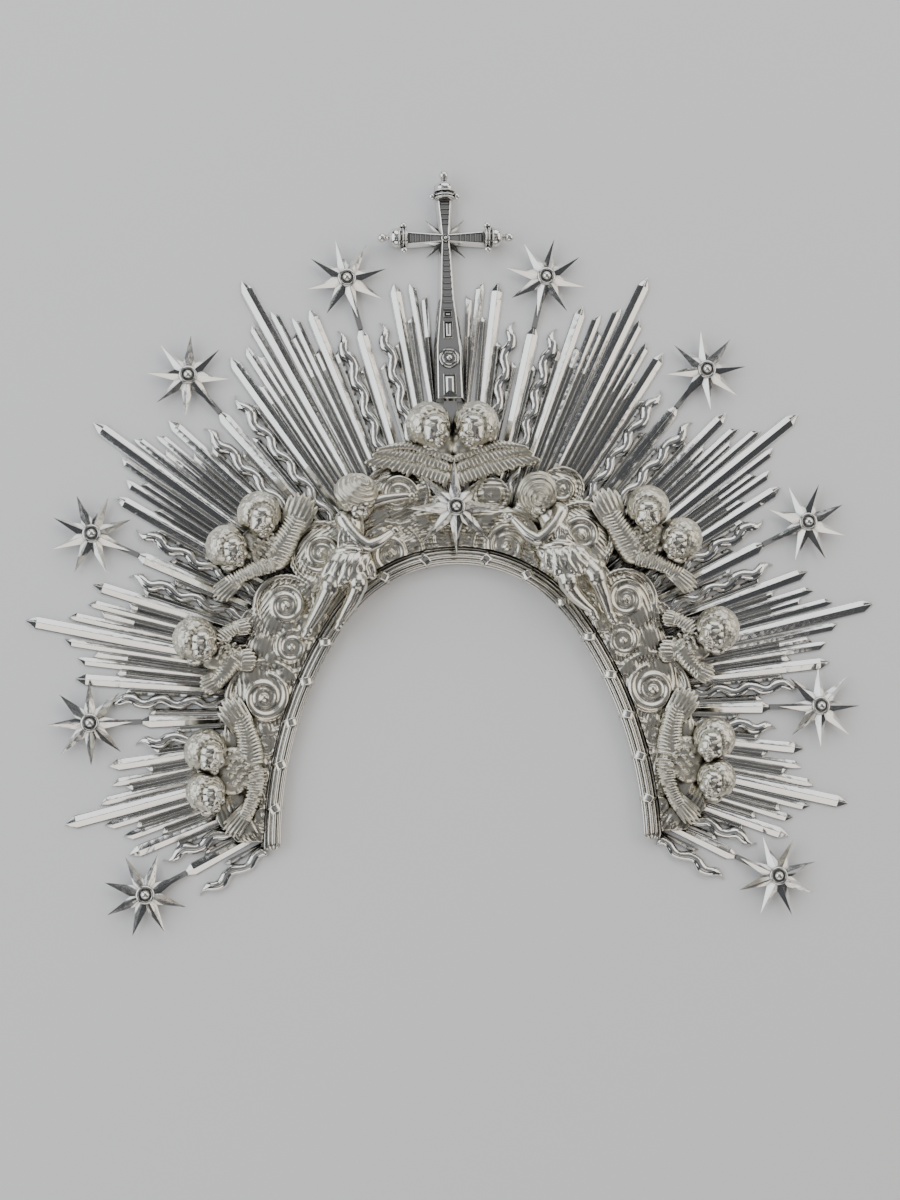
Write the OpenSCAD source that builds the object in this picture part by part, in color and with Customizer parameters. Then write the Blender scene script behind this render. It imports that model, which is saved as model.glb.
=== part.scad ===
// Sunburst diadem of chased silver: an arch of reeds and clouds, fans of rays, stars, cherubs and a cross.
// It lies on its back: +Z is the front face, +Y points to the cross, and the plan is symmetric about X = 0.

/* [Arch] */
// Half of the clear width between the two feet
arch_half = 106; // [98:1:112]
// Clear height from the feet to the crown of the arch
arch_high = 164.5; // [160:0.5:170]
// Radius of the arc at the crown of the arch
crown_r = 80; // [76:1:86]

/* [Rim] */
// Radius of the bundle of reeds round the inner edge
bundle_r = 3.4; // [3:0.1:3.6]
// Radius of one reed
reed_r = 1.1; // [0.8:0.1:1.2]
// Ribbon ties on each side
tie_count = 8; // [6:1:9]
// Distance between two ties along the rim
tie_pitch = 25; // [22:0.5:25]

/* [Clouds] */
// Distance from the inner edge of the arch to the clouds
cloud_in = 10.4; // [10.4:0.1:11]
// Distance from the inner edge of the arch to the outside of the plain band
cloud_out = 38; // [34:1:40]
// Height of the plain face of the clouds
cloud_top = 8; // [7:0.5:9]
// Height of the ridge on a scroll above the plain face
scroll_rise = 4; // [2:0.5:5]

/* [Rays] */
// Height of the ridge on the widest rays
ridge_high = 3.4; // [2.6:0.1:3.5]
// Height of the upright edge of a ray
edge_high = 1; // [0.6:0.1:1.4]
// Distance from the inner edge of the arch to where the rays start
ray_in = 22; // [21:0.5:24]
// Reach at which a ray has its full width
full_reach = 195; // [180:1:200]

/* [Stars] */
// Radius of a star from its centre to a point
star_r = 24.5; // [20:0.5:25]
// Radius from the centre to the notch between two points
notch_r = 9.5; // [8:0.5:11]
// Height of the centre of a star above its back
star_high = 5; // [4:0.5:6]
// Radius of the star at the crown of the arch
centre_star_r = 27; // [24:0.5:28]

/* [Cross] */
// Height of the crossing above the feet of the arch
cross_y = 361; // [356:1:364]
// Length of an arm from the crossing to the end of its ball
arm_len = 41; // [39:0.5:42]
// Thickness of the cross
cross_thick = 6; // [5:0.5:7]

/* [Hidden] */
gap = 0.2;
// Seam between two lengths of the rim or of the clouds
seam = 0.15;
SIDES = ["left", "right"];

// Star rays of one side: angle, reach of the shoulder, reach of the star's centre
STAR_ANGLE = 0;
STAR_SHOULDER = 1;
STAR_REACH = 2;
STAR_RAYS = [
    [75.6, 211, 240],
    [49.9, 213.5, 240],
    [25, 206.5, 234],
    [-0.65, 187, 214.5],
    [-26.7, 182, 206.5],
];
// Reach of the longest ray between each two star rays
LONGEST = [266.7, 264.9, 256.7, 236.4];

// Kinds of ray: half width at the tip, half width at the root, ridge height as a share, length of the bevel,
// sideways place of the point as a share of the half width
SHORT = [2, 0.5, 0.65, 3, 0.8];
MEDIUM = [2.6, 1.1, 0.75, 4.5, -0.5];
MAJOR = [3.5, 1.9, 0.95, 6, 0];
LONG = [3.8, 2.3, 1, 6, 0];
FLAME = [2, 1, 0.75, 12, 0];
// One sector: kind, share of the sector's angle, reach as a share of the longest ray
SECTOR_HALF = [
    [SHORT, 0.066, 0.705],
    [FLAME, 0.128, 0.8],
    [SHORT, 0.186, 0.762],
    [MAJOR, 0.243, 0.872],
    [SHORT, 0.298, 0.783],
    [MEDIUM, 0.342, 0.871],
    [SHORT, 0.387, 0.838],
    [MEDIUM, 0.432, 0.907],
];
// Rays beside the cross: kind, height where they converge, angle, reach from there
TOP_RAYS = [
    [SHORT, 107, 86.5, 220.4],
    [MEDIUM, 184.7, 82.1, 151.7],
    [SHORT, 116.9, 83.6, 199.1],
    [MAJOR, 129.2, 81.35, 208.2],
    [SHORT, 103.8, 81.2, 198.2],
    [FLAME, 135.3, 77.3, 180.1],
    [SHORT, 132.3, 75.6, 159.3],
];
// Last rays below the lowest star ray: kind, angle, reach
LOW_RAYS = [
    [SHORT, -28.9, 158],
    [FLAME, -30.9, 179],
];
flame_period = 23;
flame_sway = 1.6;
strip_wide = 8;
first_tie = 17.5;
// How far a roof is drawn in from the edge of its ray, and how far it sinks into the plate
roof_inset = 0.45;
sink = 0.2;
neck_half = 1.7;
// Angles that keep one fan's root strip clear of the next fan's star ray
strip_start = 1.3;
strip_end = 1.8;

// Scrolls on one half of the crown and on one side: place along the rim, offset, radius
CROWN_SCROLLS = [[6.6, 19, 6], [29.3, 20, 7], [15.3, 44.5, 5]];
SIDE_SCROLLS = [
    [86.8, 35.9, 10], [101.6, 41, 4], [104.8, 24.2, 10], [134.3, 26, 13], [157.5, 17.4, 5],
];
scroll_rings = 3;
// Lobes along the outside of the clouds of one side: place along the rim, offset, radius
CROWN_LOBES = [[15.3, 43, 11], [29, 39, 9], [42, 36, 10], [60, 36, 9]];
SIDE_LOBES = [
    [92, 36, 9], [108, 35, 10], [125, 37, 9], [142, 36, 10], [160, 36, 9], [177, 35, 9], [194, 33, 9],
];

// Cherub heads: x, y, radius, turn of the face sideways, turn of the face downwards, tilt of the crown
TOP_HEAD = [[12.6, 244.4, 14, 12, 14, -8]];
UPPER_HEADS = [[114.2, 193, 13, 25, 22, 14], [132.2, 174.5, 12.6, 22, 18, 30]];
SINGLE_HEAD = [[151.5, 120.5, 13.4, 28, 22, 20]];
LOWER_HEADS = [[147.2, 55.6, 12.8, 20, 16, 12], [147.2, 32.6, 11.8, 18, 20, 6]];
// Wings: root x, root y, tip x, tip y, half width
TOP_WINGS = [[7, 218, 44, 226, 8]];
UPPER_WINGS = [[96.5, 172, 87.5, 203, 7.5], [116, 162, 137, 145, 7.5]];
SINGLE_WINGS = [[137, 112, 121, 112, 6], [131, 121, 127, 131, 5], [133, 102.5, 147, 100, 5]];
LOWER_WINGS = [[129, 55, 140, 83, 7], [129, 40, 131, 13, 7]];
root_share = 0.8;
curl_count = 9;
head_high = 15;
wing_high = 4.5;
feather_rows = 3;

// Putti, as path points with a radius for each limb: x, y, z, radius
PUTTO_HEAD_L = [63, 203, 17.5, 11.5];
PUTTO_HEAD_R = [47.5, 202, 17.5, 11.5];
CHEST = [62, 184, 14.5, 8.5];
HIPS = [67, 168, 14, 8.5];
SHOULDER_OUT = [74, 186, 14, 5.5];
ELBOW_OUT = [81, 176, 14, 4.2];
SHOULDER_IN = [54, 184, 15, 4.8];
ELBOW_IN = [49, 175, 15, 3.8];
HAND_IN = [36.5, 182.5, 14.5, 3];
HAND_UP = [38, 199, 14, 3];
KNEE_OUT = [80, 152, 17, 5.6];
FOOT_OUT = [89, 129, 15, 3.4];
KNEE_IN = [67, 151, 17, 5.6];
FOOT_IN = [73, 133, 15, 3.4];
TOE = [3, -4, 0, -0.6];
body_floor = 10.5;

// Half widths of the cross's stem at heights above the feet of the arch: half width, y
STEM = [[4.3, 350], [5.4, 325], [7, 313], [9, 295], [9.2, 262]];
tongue_half = 4;
tongue_low = 212;
collar_at = 24;
arm_half_in = 3.7;
arm_half_out = 5.4;
spike_len = 17;
bead_r = 2.3;
ball_r = 3;

// Arch of three arcs: the side arcs' radius follows from the half width, the height and the crown's radius
side_r = (arch_half * arch_half + arch_high * arch_high - 2 * arch_high * crown_r) / (2 * (arch_half - crown_r));
side_x = arch_half - side_r;
crown_y = arch_high - crown_r;
join_a = atan2(crown_y, -side_x);
crown_arc = crown_r * (90 - join_a) * PI / 180;

// A point at the distance s along the inner edge from the crown, moved out by d
function arch_angle(s) = s < crown_arc
    ? 90 - s / crown_r * 180 / PI
    : join_a - (s - crown_arc) / side_r * 180 / PI;
function arch_point(s, d) = s < crown_arc
    ? [(crown_r + d) * cos(arch_angle(s)), crown_y + (crown_r + d) * sin(arch_angle(s))]
    : [side_x + (side_r + d) * cos(arch_angle(s)), (side_r + d) * sin(arch_angle(s))];

// Height on the axis where a ray of the angle a converges, and the reach from there to the arch moved out by d
function hub_y(a) = 78.4 + 0.342 * a;
function reach_to_arch(a, c, d) =
    let (
        w = arch_half + d,
        h = arch_high + d,
        p = pow(cos(a) / w, 2) + pow(sin(a) / h, 2),
        q = c * sin(a) / (h * h),
        r = c * c / (h * h) - 1
    )
    (-q + sqrt(q * q - p * r)) / p;

// The origin is below the middle of the whole outline
star_low = hub_y(STAR_RAYS[4][STAR_ANGLE]) + STAR_RAYS[4][STAR_REACH] * sin(STAR_RAYS[4][STAR_ANGLE])
    + star_r * min([for (i = [0:7]) sin(STAR_RAYS[4][STAR_ANGLE] + 45 * i)]);
mid_y = (cross_y + arm_len + star_low) / 2;

POLISHED = [0.86, 0.86, 0.85];
SATIN = [0.78, 0.76, 0.71];
$fn = 48;

// Moves a piece from the feet of the arch to the part's frame, mirrored for the left side
module placed(side = "right") {
    translate([0, -mid_y, 0]) mirror([side == "left" ? 1 : 0, 0, 0]) children();
}

// Sweeps the 2D section of its children, drawn as offset and height, along the crown arc or along the right side arc
module along_crown() {
    trim = seam / crown_r * 180 / PI;
    translate([0, crown_y, 0]) rotate([0, 0, join_a + trim])
        rotate_extrude(angle = 180 - 2 * (join_a + trim), $fn = 96) translate([crown_r, 0]) children();
}

module along_side() {
    translate([side_x, 0, 0]) rotate_extrude(angle = join_a, $fn = 180) translate([side_r, 0]) children();
}

module reed_section() {
    reach = bundle_r + reed_r;
    translate([reach, reach]) {
        circle(r = bundle_r + 0.3);
        for (i = [-1:4]) rotate(45 * i) translate([bundle_r, 0]) circle(r = reed_r);
    }
    translate([reed_r, 0]) square([cloud_in - gap - reed_r, 3]);
    translate([2 * reach - 1, 0]) square([cloud_in - gap - 2 * reach + 1, 4.5]);
}

// A flat slanted band with a raised edge on each side of it
module tie() {
    band_r = bundle_r + reed_r + 0.4;
    intersection() {
        translate([0, 0, bundle_r + reed_r]) rotate([0, 0, 28]) rotate([90, 0, 0]) {
            cylinder(r = band_r, h = 4, center = true);
            for (m = [-1, 1]) translate([0, 0, m * 2.4]) cylinder(r = band_r + 0.6, h = 1, center = true);
        }
        translate([-10, -10, 0]) cube([10 + cloud_in - bundle_r - reed_r - 2 * gap, 20, 20]);
    }
}

module ties(from, to) {
    for (s = [first_tie:tie_pitch:first_tie + (tie_count - 1) * tie_pitch]) if (s > from && s < to) {
        p = arch_point(s, bundle_r + reed_r);
        translate([p[0], p[1], 0]) rotate([0, 0, arch_angle(s)]) tie();
    }
}

module rim_crown() {
    color(POLISHED) placed() {
        along_crown() reed_section();
        for (m = [0, 1]) mirror([m, 0, 0]) ties(0, crown_arc);
    }
}

module rim_side() {
    along_side() reed_section();
    ties(crown_arc, 300);
}

// The section of a scroll: rings that rise towards its centre
module scroll(r) {
    pitch = r / (scroll_rings + 0.6);
    rotate_extrude() polygon(concat(
        [[0, -sink], [r, -sink]],
        [for (i = [0:scroll_rings - 1]) each [
            [r - (i + 0.4) * pitch, scroll_rise * (0.6 + 0.4 * i / scroll_rings)],
            [r - (i + 0.9) * pitch, 0.5]
        ]],
        [[0, scroll_rise]]
    ));
}

module cloud_section() {
    under = ridge_high + gap;
    inner = ray_in - 2.4;
    polygon([
        [cloud_in, 0], [inner, 0], [inner, under], [cloud_out, under], [cloud_out, cloud_top],
        [cloud_in + 1.5, cloud_top], [cloud_in, cloud_top - 1.5],
    ]);
}

// Lobes and scrolls of one stretch of cloud
module cloud_relief(lobes, scrolls) {
    under = ridge_high + gap;
    for (l = lobes) {
        p = arch_point(l[0], l[1]);
        translate([p[0], p[1], under]) cylinder(r = l[2], h = cloud_top - under);
    }
    for (c = scrolls) {
        p = arch_point(c[0], c[1]);
        translate([p[0], p[1], cloud_top]) scroll(c[2]);
    }
}

module cloud_crown() {
    color(SATIN) placed() {
        along_crown() cloud_section();
        for (m = [0, 1]) mirror([m, 0, 0]) cloud_relief(CROWN_LOBES, CROWN_SCROLLS);
    }
}

// The clouds of one side, with round seats cut for the roots of the heads
module cloud_side() {
    difference() {
        union() {
            along_side() cloud_section();
            cloud_relief(SIDE_LOBES, SIDE_SCROLLS);
        }
        for (h = concat(UPPER_HEADS, SINGLE_HEAD, LOWER_HEADS))
            translate([h[0], h[1], 0]) cylinder(r = h[2] * root_share + gap, h = 2 * cloud_top);
    }
}

// The outline of a straight ray along +X; side 1 or -1 says on which side its point lies
function ray_outline(kind, from, reach, side, inset) =
    let (
        half = kind[0] - inset,
        root = kind[1] - inset,
        neck = reach - kind[3],
        full = min(full_reach, neck - 1)
    )
    [[from, -root], [full, -half], [neck, -half], [reach - inset, side * kind[4] * half], [neck, half],
     [full, half], [from, root]];

// The two slopes of a straight ray above its plate, with a bevelled end
module ray_roof(kind, from, reach, side) {
    ridge = ridge_high * kind[2];
    line = ray_outline(kind, from, reach, side, roof_inset);
    points = concat(
        [for (p = line) [p[0], p[1], edge_high - sink]],
        [[from, 0, ridge], [reach - kind[3], 0, ridge]]
    );
    polyhedron(points, [
        [0, 1, 6], [1, 5, 6], [1, 2, 5], [2, 4, 5], [2, 3, 4], [0, 6, 7], [0, 7, 1], [1, 7, 8],
        [1, 8, 2], [2, 8, 3], [3, 8, 4], [4, 8, 5], [5, 8, 7], [5, 7, 6],
    ]);
}

// The sway and the half width of a flame-shaped ray at x, and its outline
function flame_y(x, from, reach, side) =
    side * flame_sway * x / full_reach * sin((reach - x) / flame_period * 360 + 30)
    * min(1, (x - from) / flame_period);
function flame_half(kind, x, reach) = min(max(kind[0] * x / full_reach, kind[1]), 0.25 + (reach - x) * 0.2);
function flame_steps(from, reach) = ceil((reach - from) / 5.5);
function flame_x(i, from, reach) = from + (reach - from) * i / flame_steps(from, reach);
function flame_outline(kind, from, reach, side) = concat(
    [for (i = [0:flame_steps(from, reach)]) let (x = flame_x(i, from, reach))
        [x, flame_y(x, from, reach, side) - flame_half(kind, x, reach)]],
    [for (i = [flame_steps(from, reach):-1:0]) let (x = flame_x(i, from, reach))
        [x, flame_y(x, from, reach, side) + flame_half(kind, x, reach)]]
);

// The two slopes of a flame-shaped ray above its plate
module flame_roof(kind, from, reach, side) {
    steps = flame_steps(from, reach) - 1;
    low = edge_high - sink;
    points = [
        for (i = [0:steps])
            let (
                x = flame_x(i, from, reach),
                y = flame_y(x, from, reach, side),
                h = flame_half(kind, x, reach) - roof_inset,
                z = min(ridge_high * kind[2], edge_high + (reach - x) * 0.2)
            )
            each [[x, y - h, low], [x, y, z], [x, y + h, low]]
    ];
    sides = [
        for (i = [0:steps - 1], j = [0:2])
            let (a = i * 3 + j, b = i * 3 + (j + 1) % 3) each [[a, b, b + 3], [a, b + 3, a + 3]]
    ];
    last = steps * 3;
    polyhedron(points, concat(sides, [[2, 1, 0], [last, last + 1, last + 2]]), convexity = 4);
}

// A ray at the angle a from the height c on the axis: its outline when flat is true, and its roof otherwise
module aimed(kind, c, a, reach, flat, side = 1) {
    from = reach_to_arch(a, c, ray_in);
    translate([0, c]) rotate(a) {
        if (flat) {
            polygon(kind == FLAME ? flame_outline(kind, from, reach, side)
                : ray_outline(kind, from, reach, side, 0));
        } else if (kind == FLAME) {
            flame_roof(kind, from, reach, side);
        } else {
            ray_roof(kind, from, reach, side);
        }
    }
}

// The narrow neck that runs from the shoulder of a star ray to the middle of its star
module star_neck(star) {
    a = star[STAR_ANGLE];
    translate([0, hub_y(a), 0]) rotate([0, 0, a]) {
        translate([star[STAR_SHOULDER] - 3, -neck_half, 0])
            cube([star[STAR_REACH] - star[STAR_SHOULDER] + 3, 2 * neck_half, ridge_high]);
        translate([star[STAR_REACH], 0, 0]) cylinder(r = neck_half + 1, h = ridge_high);
    }
}

// The outline of the strip under the clouds that joins the roots of a fan
module root_strip(high_a, low_a) {
    steps = 6;
    angles = [for (i = [0:steps]) high_a + (low_a - high_a) * i / steps];
    function spot(a, more) =
        let (r = reach_to_arch(a, hub_y(a), ray_in) + more) [r * cos(a), hub_y(a) + r * sin(a)];
    polygon(concat(
        [for (a = angles) spot(a, 0)],
        [for (i = [steps:-1:0]) spot(angles[i], strip_wide)]
    ));
}

// The rays of one sector, as outlines or as roofs
module sector(index, flat) {
    high_a = STAR_RAYS[index][STAR_ANGLE];
    span = STAR_RAYS[index + 1][STAR_ANGLE] - high_a;
    for (half = [0, 1], row = SECTOR_HALF) {
        a = high_a + span * (half == 0 ? row[1] : 1 - row[1]);
        aimed(row[0], hub_y(a), a, LONGEST[index] * row[2], flat, half == 0 ? 1 : -1);
    }
    aimed(LONG, hub_y(high_a + span / 2), high_a + span / 2, LONGEST[index], flat);
    if (flat) root_strip(high_a + strip_start, high_a + span + strip_end);
}

// The plan of the cross's stem and of the tongue below it, grown by more
module stem_plan(more) {
    foot = STEM[len(STEM) - 1];
    for (m = [0, 1]) mirror([m, 0]) polygon(concat(
        [[0, tongue_low - more], [tongue_half + more, tongue_low - more], [tongue_half + more, foot[1] - more]],
        [[foot[0] + more, foot[1] - more]],
        [for (i = [len(STEM) - 1:-1:0]) [STEM[i][0] + more, STEM[i][1]]],
        [[0, STEM[0][1]]]
    ));
}

module fan_rays(index, flat) {
    if (index == 1) {
        for (row = TOP_RAYS) aimed(row[0], row[1], row[2], row[3], flat);
        if (flat) root_strip(86, 75.6 + strip_end);
    } else {
        star = STAR_RAYS[index - 2];
        aimed(LONG, hub_y(star[STAR_ANGLE]), star[STAR_ANGLE], star[STAR_SHOULDER], flat);
    }
    if (index > 1 && index < 6) sector(index - 2, flat);
    if (index == 6) {
        for (row = LOW_RAYS) aimed(row[0], hub_y(row[1]), row[1], row[2], flat);
        if (flat) root_strip(STAR_RAYS[4][STAR_ANGLE] + strip_start, -32);
    }
}

module ray_fan(index) {
    difference() {
        union() {
            linear_extrude(edge_high) fan_rays(index, true);
            fan_rays(index, false);
        }
        if (index == 1) translate([0, 0, -1]) linear_extrude(2 * cross_thick) stem_plan(gap);
    }
    if (index > 1) star_neck(STAR_RAYS[index - 2]);
}

// An eight-pointed star with ridged points, a ring and a ball
module star(r, notch, high) {
    edge = 0.7;
    function spot(a, d, z) = [d * cos(a), d * sin(a), z];
    points = concat(
        [[0, 0, high]],
        [for (i = [0:15]) spot(22.5 * i, i % 2 == 0 ? r : notch, edge)],
        [for (i = [0:15]) spot(22.5 * i, i % 2 == 0 ? r : notch, 0)],
        [[0, 0, 0]]
    );
    low_middle = 33;
    polyhedron(points, concat(
        [for (i = [0:15]) [0, (i + 1) % 16 + 1, i + 1]],
        [for (i = [0:15]) [i + 1, (i + 1) % 16 + 1, (i + 1) % 16 + 17, i + 17]],
        [for (i = [0:15]) [low_middle, i + 17, (i + 1) % 16 + 17]]
    ));
    cylinder(r = 5.6, h = high * 0.86);
    translate([0, 0, high]) sphere(r = 2.8);
    translate([0, 0, high * 0.86]) rotate_extrude() translate([4.3, 0]) circle(r = 1, $fn = 24);
}

module ray_star(index) {
    s = STAR_RAYS[index - 1];
    a = s[STAR_ANGLE];
    translate([s[STAR_REACH] * cos(a), hub_y(a) + s[STAR_REACH] * sin(a), ridge_high + gap])
        rotate([0, 0, a]) star(star_r, notch_r, star_high);
}

star_y = 196.4;
star_z = cloud_top + wing_high + 1.1;
module centre_star() {
    color(POLISHED) placed() translate([0, star_y, 0]) {
        translate([0, 0, cloud_top + gap]) cylinder(r = 4, h = star_z - cloud_top);
        translate([0, 0, star_z]) rotate([0, 0, 90]) star(centre_star_r, 7.5, 6);
    }
}

// The turned end of an arm: collar, knob, neck and ball, drawn along the arm from the collar
module arm_end() {
    rest = arm_len - collar_at;
    rotate_extrude() polygon([
        [0, 0], [5.6, 0], [5.6, 1.6], [4.4, 2.4], [4.4, 3.4], [6.2, 4.6], [6.4, 7], [5, 9.6], [2.2, 10.6],
        [1.8, rest - ball_r], [0, rest - ball_r],
    ]);
    translate([0, 0, rest - ball_r]) sphere(r = ball_r);
    for (m = [-1, 1]) translate([m * 7.4, 0, 1]) sphere(r = bead_r);
}

module cross_arm() {
    linear_extrude(cross_thick) polygon([
        [-arm_half_in, 0], [arm_half_in, 0], [arm_half_out, collar_at + 0.5], [-arm_half_out, collar_at + 0.5],
    ]);
    linear_extrude(cross_thick + 0.8) polygon([
        [-arm_half_in + 1.2, 5], [arm_half_in - 1.2, 5],
        [arm_half_out - 1.4, collar_at - 1.5], [-arm_half_out + 1.4, collar_at - 1.5],
    ]);
    for (i = [1:4]) translate([-1.6, 3 + i * 4, 0]) cube([3.2, 1.1, cross_thick + 1.3]);
    translate([0, collar_at, cross_thick / 2 + 3.4]) rotate([-90, 0, 0]) arm_end();
}

module cross() {
    color(POLISHED) placed() {
        linear_extrude(ridge_high) stem_plan(0);
        linear_extrude(cross_thick) polygon(concat(
            [[arm_half_in, cross_y]], STEM,
            [for (i = [len(STEM) - 1:-1:0]) [-STEM[i][0], STEM[i][1]]], [[-arm_half_in, cross_y]]
        ));
        translate([0, cross_y, 0]) {
            for (a = [0, 90, -90]) rotate([0, 0, a]) cross_arm();
            for (a = [45:90:315]) rotate([0, 0, a]) translate([0, -1.3, 1])
                linear_extrude(cross_thick - 2.5) polygon([[3, 0], [spike_len, 1.3], [3, 2.6]]);
            cylinder(r = 3, h = cross_thick + 1.4);
            for (i = [1:11]) translate([-1.9, -3.8 - i * 3.6, 0]) cube([3.8, 0.9, cross_thick + 0.6]);
        }
        translate([0, 288, 0]) {
            cylinder(r = 6, h = cross_thick + 0.8);
            cylinder(r = 3, h = cross_thick + 2.4);
        }
        translate([-4.5, 266, 0]) cube([9, 12, cross_thick + 0.8]);
        translate([-3.6, 299, 0]) cube([7.2, 11, cross_thick + 0.8]);
    }
}

// A child's head with a round face and a crown of curls, turned and set on a plain round root
module cherub_head(h) {
    r = h[2];
    low = ridge_high + 2 * gap;
    translate([h[0], h[1], 0]) {
        translate([0, 0, low]) cylinder(r = r * root_share, h = head_high - low);
        intersection() {
            translate([0, 0, head_high]) sphere(r = r * 0.93);
            translate([-r, -r, low]) cube([2 * r, 2 * r, 2 * head_high]);
        }
        translate([0, 0, head_high]) rotate([h[4], -h[3], h[5]]) {
            translate([0, -r * 0.2, r * 0.42]) sphere(r = r * 0.62);
            translate([0, -r * 0.12, r]) sphere(r = r * 0.13);
            for (m = [-1, 1]) translate([m * r * 0.27, -r * 0.32, r * 0.72]) sphere(r = r * 0.26);
            translate([0, -r * 0.58, r * 0.72]) sphere(r = r * 0.18);
            for (i = [0:curl_count - 1]) rotate([0, 0, 205 * i / (curl_count - 1) - 12.5])
                translate([r * 0.76, 0, r * 0.42]) sphere(r = r * 0.25);
        }
    }
}

// A wing from its root to its tip, in stepped rows of feathers with scalloped edges
module wing(w) {
    along = [w[2] - w[0], w[3] - w[1]];
    length = norm(along);
    half = w[4];
    feather = half * 0.3;
    translate([w[0], w[1], cloud_top + gap]) rotate([0, 0, atan2(along[1], along[0])]) {
        for (i = [0:feather_rows - 1]) {
            reach = length * (1 - 0.24 * i);
            wide = half * (1 - 0.12 * i);
            linear_extrude(wing_high * (0.4 + 0.3 * i)) {
                translate([0, -wide + feather]) square([reach, 2 * wide - feather]);
                circle(r = wide * 0.8);
                for (j = [0:3]) {
                    translate([reach, -wide + feather + j * (2 * wide - 1.9 * feather) / 3]) circle(r = feather * 1.2);
                    translate([reach * (j + 0.6) / 4, -wide + feather]) circle(r = feather);
                }
            }
        }
    }
}

// The neck between a head and the roots of its wings
module neck(head, w) {
    along = [w[0] - head[0], w[1] - head[1]];
    half = min(head[2] * 0.5, w[4] * 0.7);
    translate([head[0], head[1], cloud_top + gap]) rotate([0, 0, atan2(along[1], along[0])])
        translate([0, -half, 0]) cube([norm(along), 2 * half, wing_high * 0.5]);
}

module cherubs(heads, wings) {
    for (h = heads) cherub_head(h);
    for (i = [0:len(wings) - 1]) {
        wing(wings[i]);
        neck(heads[min(i, len(heads) - 1)], wings[i]);
    }
    if (len(heads) > 1) neck(heads[0], concat(heads[1], [0, heads[1][2]]));
}

module cherub_pair_top() {
    color(SATIN) for (s = SIDES) placed(s) cherubs(TOP_HEAD, TOP_WINGS);
}

// A limb as a chain of hulls through its joints
module limb(points) {
    for (i = [0:len(points) - 2]) hull() for (p = [points[i], points[i + 1]])
        translate([p[0], p[1], p[2]]) sphere(r = p[3], $fn = 10);
}

module putto(head) {
    intersection() {
        union() {
            limb([head, CHEST, HIPS]);
            limb([HIPS, KNEE_OUT, FOOT_OUT, FOOT_OUT + TOE]);
            limb([HIPS, KNEE_IN, FOOT_IN, FOOT_IN + TOE]);
            limb([SHOULDER_OUT, CHEST, SHOULDER_IN, ELBOW_IN, HAND_IN]);
            limb([SHOULDER_OUT, ELBOW_OUT]);
            limb([SHOULDER_IN, HAND_UP]);
            translate([head[0], head[1], head[2] + 1]) sphere(r = head[3] + 0.8, $fn = 16);
        }
        translate([0, 0, body_floor]) linear_extrude(30) square([120, 230]);
    }
    translate([CHEST[0], CHEST[1], cloud_top + gap]) cylinder(r = 6, h = body_floor - cloud_top, $fn = 16);
    translate([HIPS[0], HIPS[1], cloud_top + gap]) cylinder(r = 6, h = body_floor - cloud_top, $fn = 16);
}

rim_crown();
cloud_crown();
cross();
centre_star();
cherub_pair_top();
for (s = SIDES, i = [1:6])
    color(POLISHED) placed(s) ray_fan(i);
for (s = SIDES, i = [1:5])
    color(POLISHED) placed(s) ray_star(i);
for (s = SIDES) {
    color(POLISHED) placed(s) rim_side();
    color(SATIN) placed(s) cloud_side();
    color(SATIN) placed(s) cherubs(UPPER_HEADS, UPPER_WINGS);
    color(SATIN) placed(s) cherubs(SINGLE_HEAD, SINGLE_WINGS);
    color(SATIN) placed(s) cherubs(LOWER_HEADS, LOWER_WINGS);
    color(SATIN) placed(s) putto(s == "left" ? PUTTO_HEAD_L : PUTTO_HEAD_R);
}
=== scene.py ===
import random
from math import atan2, copysign, cos, exp, pi, radians, sin, sqrt

import bpy
from mathutils import Matrix, Vector


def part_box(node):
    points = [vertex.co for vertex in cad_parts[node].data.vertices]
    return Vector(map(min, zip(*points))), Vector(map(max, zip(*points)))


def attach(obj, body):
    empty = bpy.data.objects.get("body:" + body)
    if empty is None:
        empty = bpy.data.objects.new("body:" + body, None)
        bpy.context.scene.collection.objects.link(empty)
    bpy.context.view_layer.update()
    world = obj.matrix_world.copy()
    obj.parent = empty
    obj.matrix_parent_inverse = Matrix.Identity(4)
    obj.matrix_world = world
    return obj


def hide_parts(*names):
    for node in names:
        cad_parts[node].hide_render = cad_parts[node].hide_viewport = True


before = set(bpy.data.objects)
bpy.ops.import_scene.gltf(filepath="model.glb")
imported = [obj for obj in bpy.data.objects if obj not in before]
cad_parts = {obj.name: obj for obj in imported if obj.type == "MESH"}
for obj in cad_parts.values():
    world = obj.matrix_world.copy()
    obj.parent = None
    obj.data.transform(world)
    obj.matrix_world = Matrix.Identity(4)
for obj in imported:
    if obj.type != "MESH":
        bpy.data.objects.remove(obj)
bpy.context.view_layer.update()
mm = 0.001

# The floor, lights and camera.
# The diadem lies on its back on a pale matt table, under wide soft boxes and a dim sky,
# and the camera looks down on it, turned a little to its left and foot.
bpy.ops.mesh.primitive_plane_add(size=12)
floor = bpy.context.object
floor.name = "floor"
pale = bpy.data.materials.new("pale_table")
pale.use_nodes = True
pale.node_tree.nodes["Principled BSDF"].inputs["Base Color"].default_value = (0.92, 0.92, 0.93, 1)
pale.node_tree.nodes["Principled BSDF"].inputs["Roughness"].default_value = 0.9
floor.data.materials.append(pale)

sky = bpy.data.worlds.new("dim_sky")
sky.use_nodes = True
sky.node_tree.nodes["Background"].inputs["Color"].default_value = (0.09, 0.095, 0.105, 1)
sky.node_tree.nodes["Background"].inputs["Strength"].default_value = 0.8
bpy.context.scene.world = sky
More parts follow.
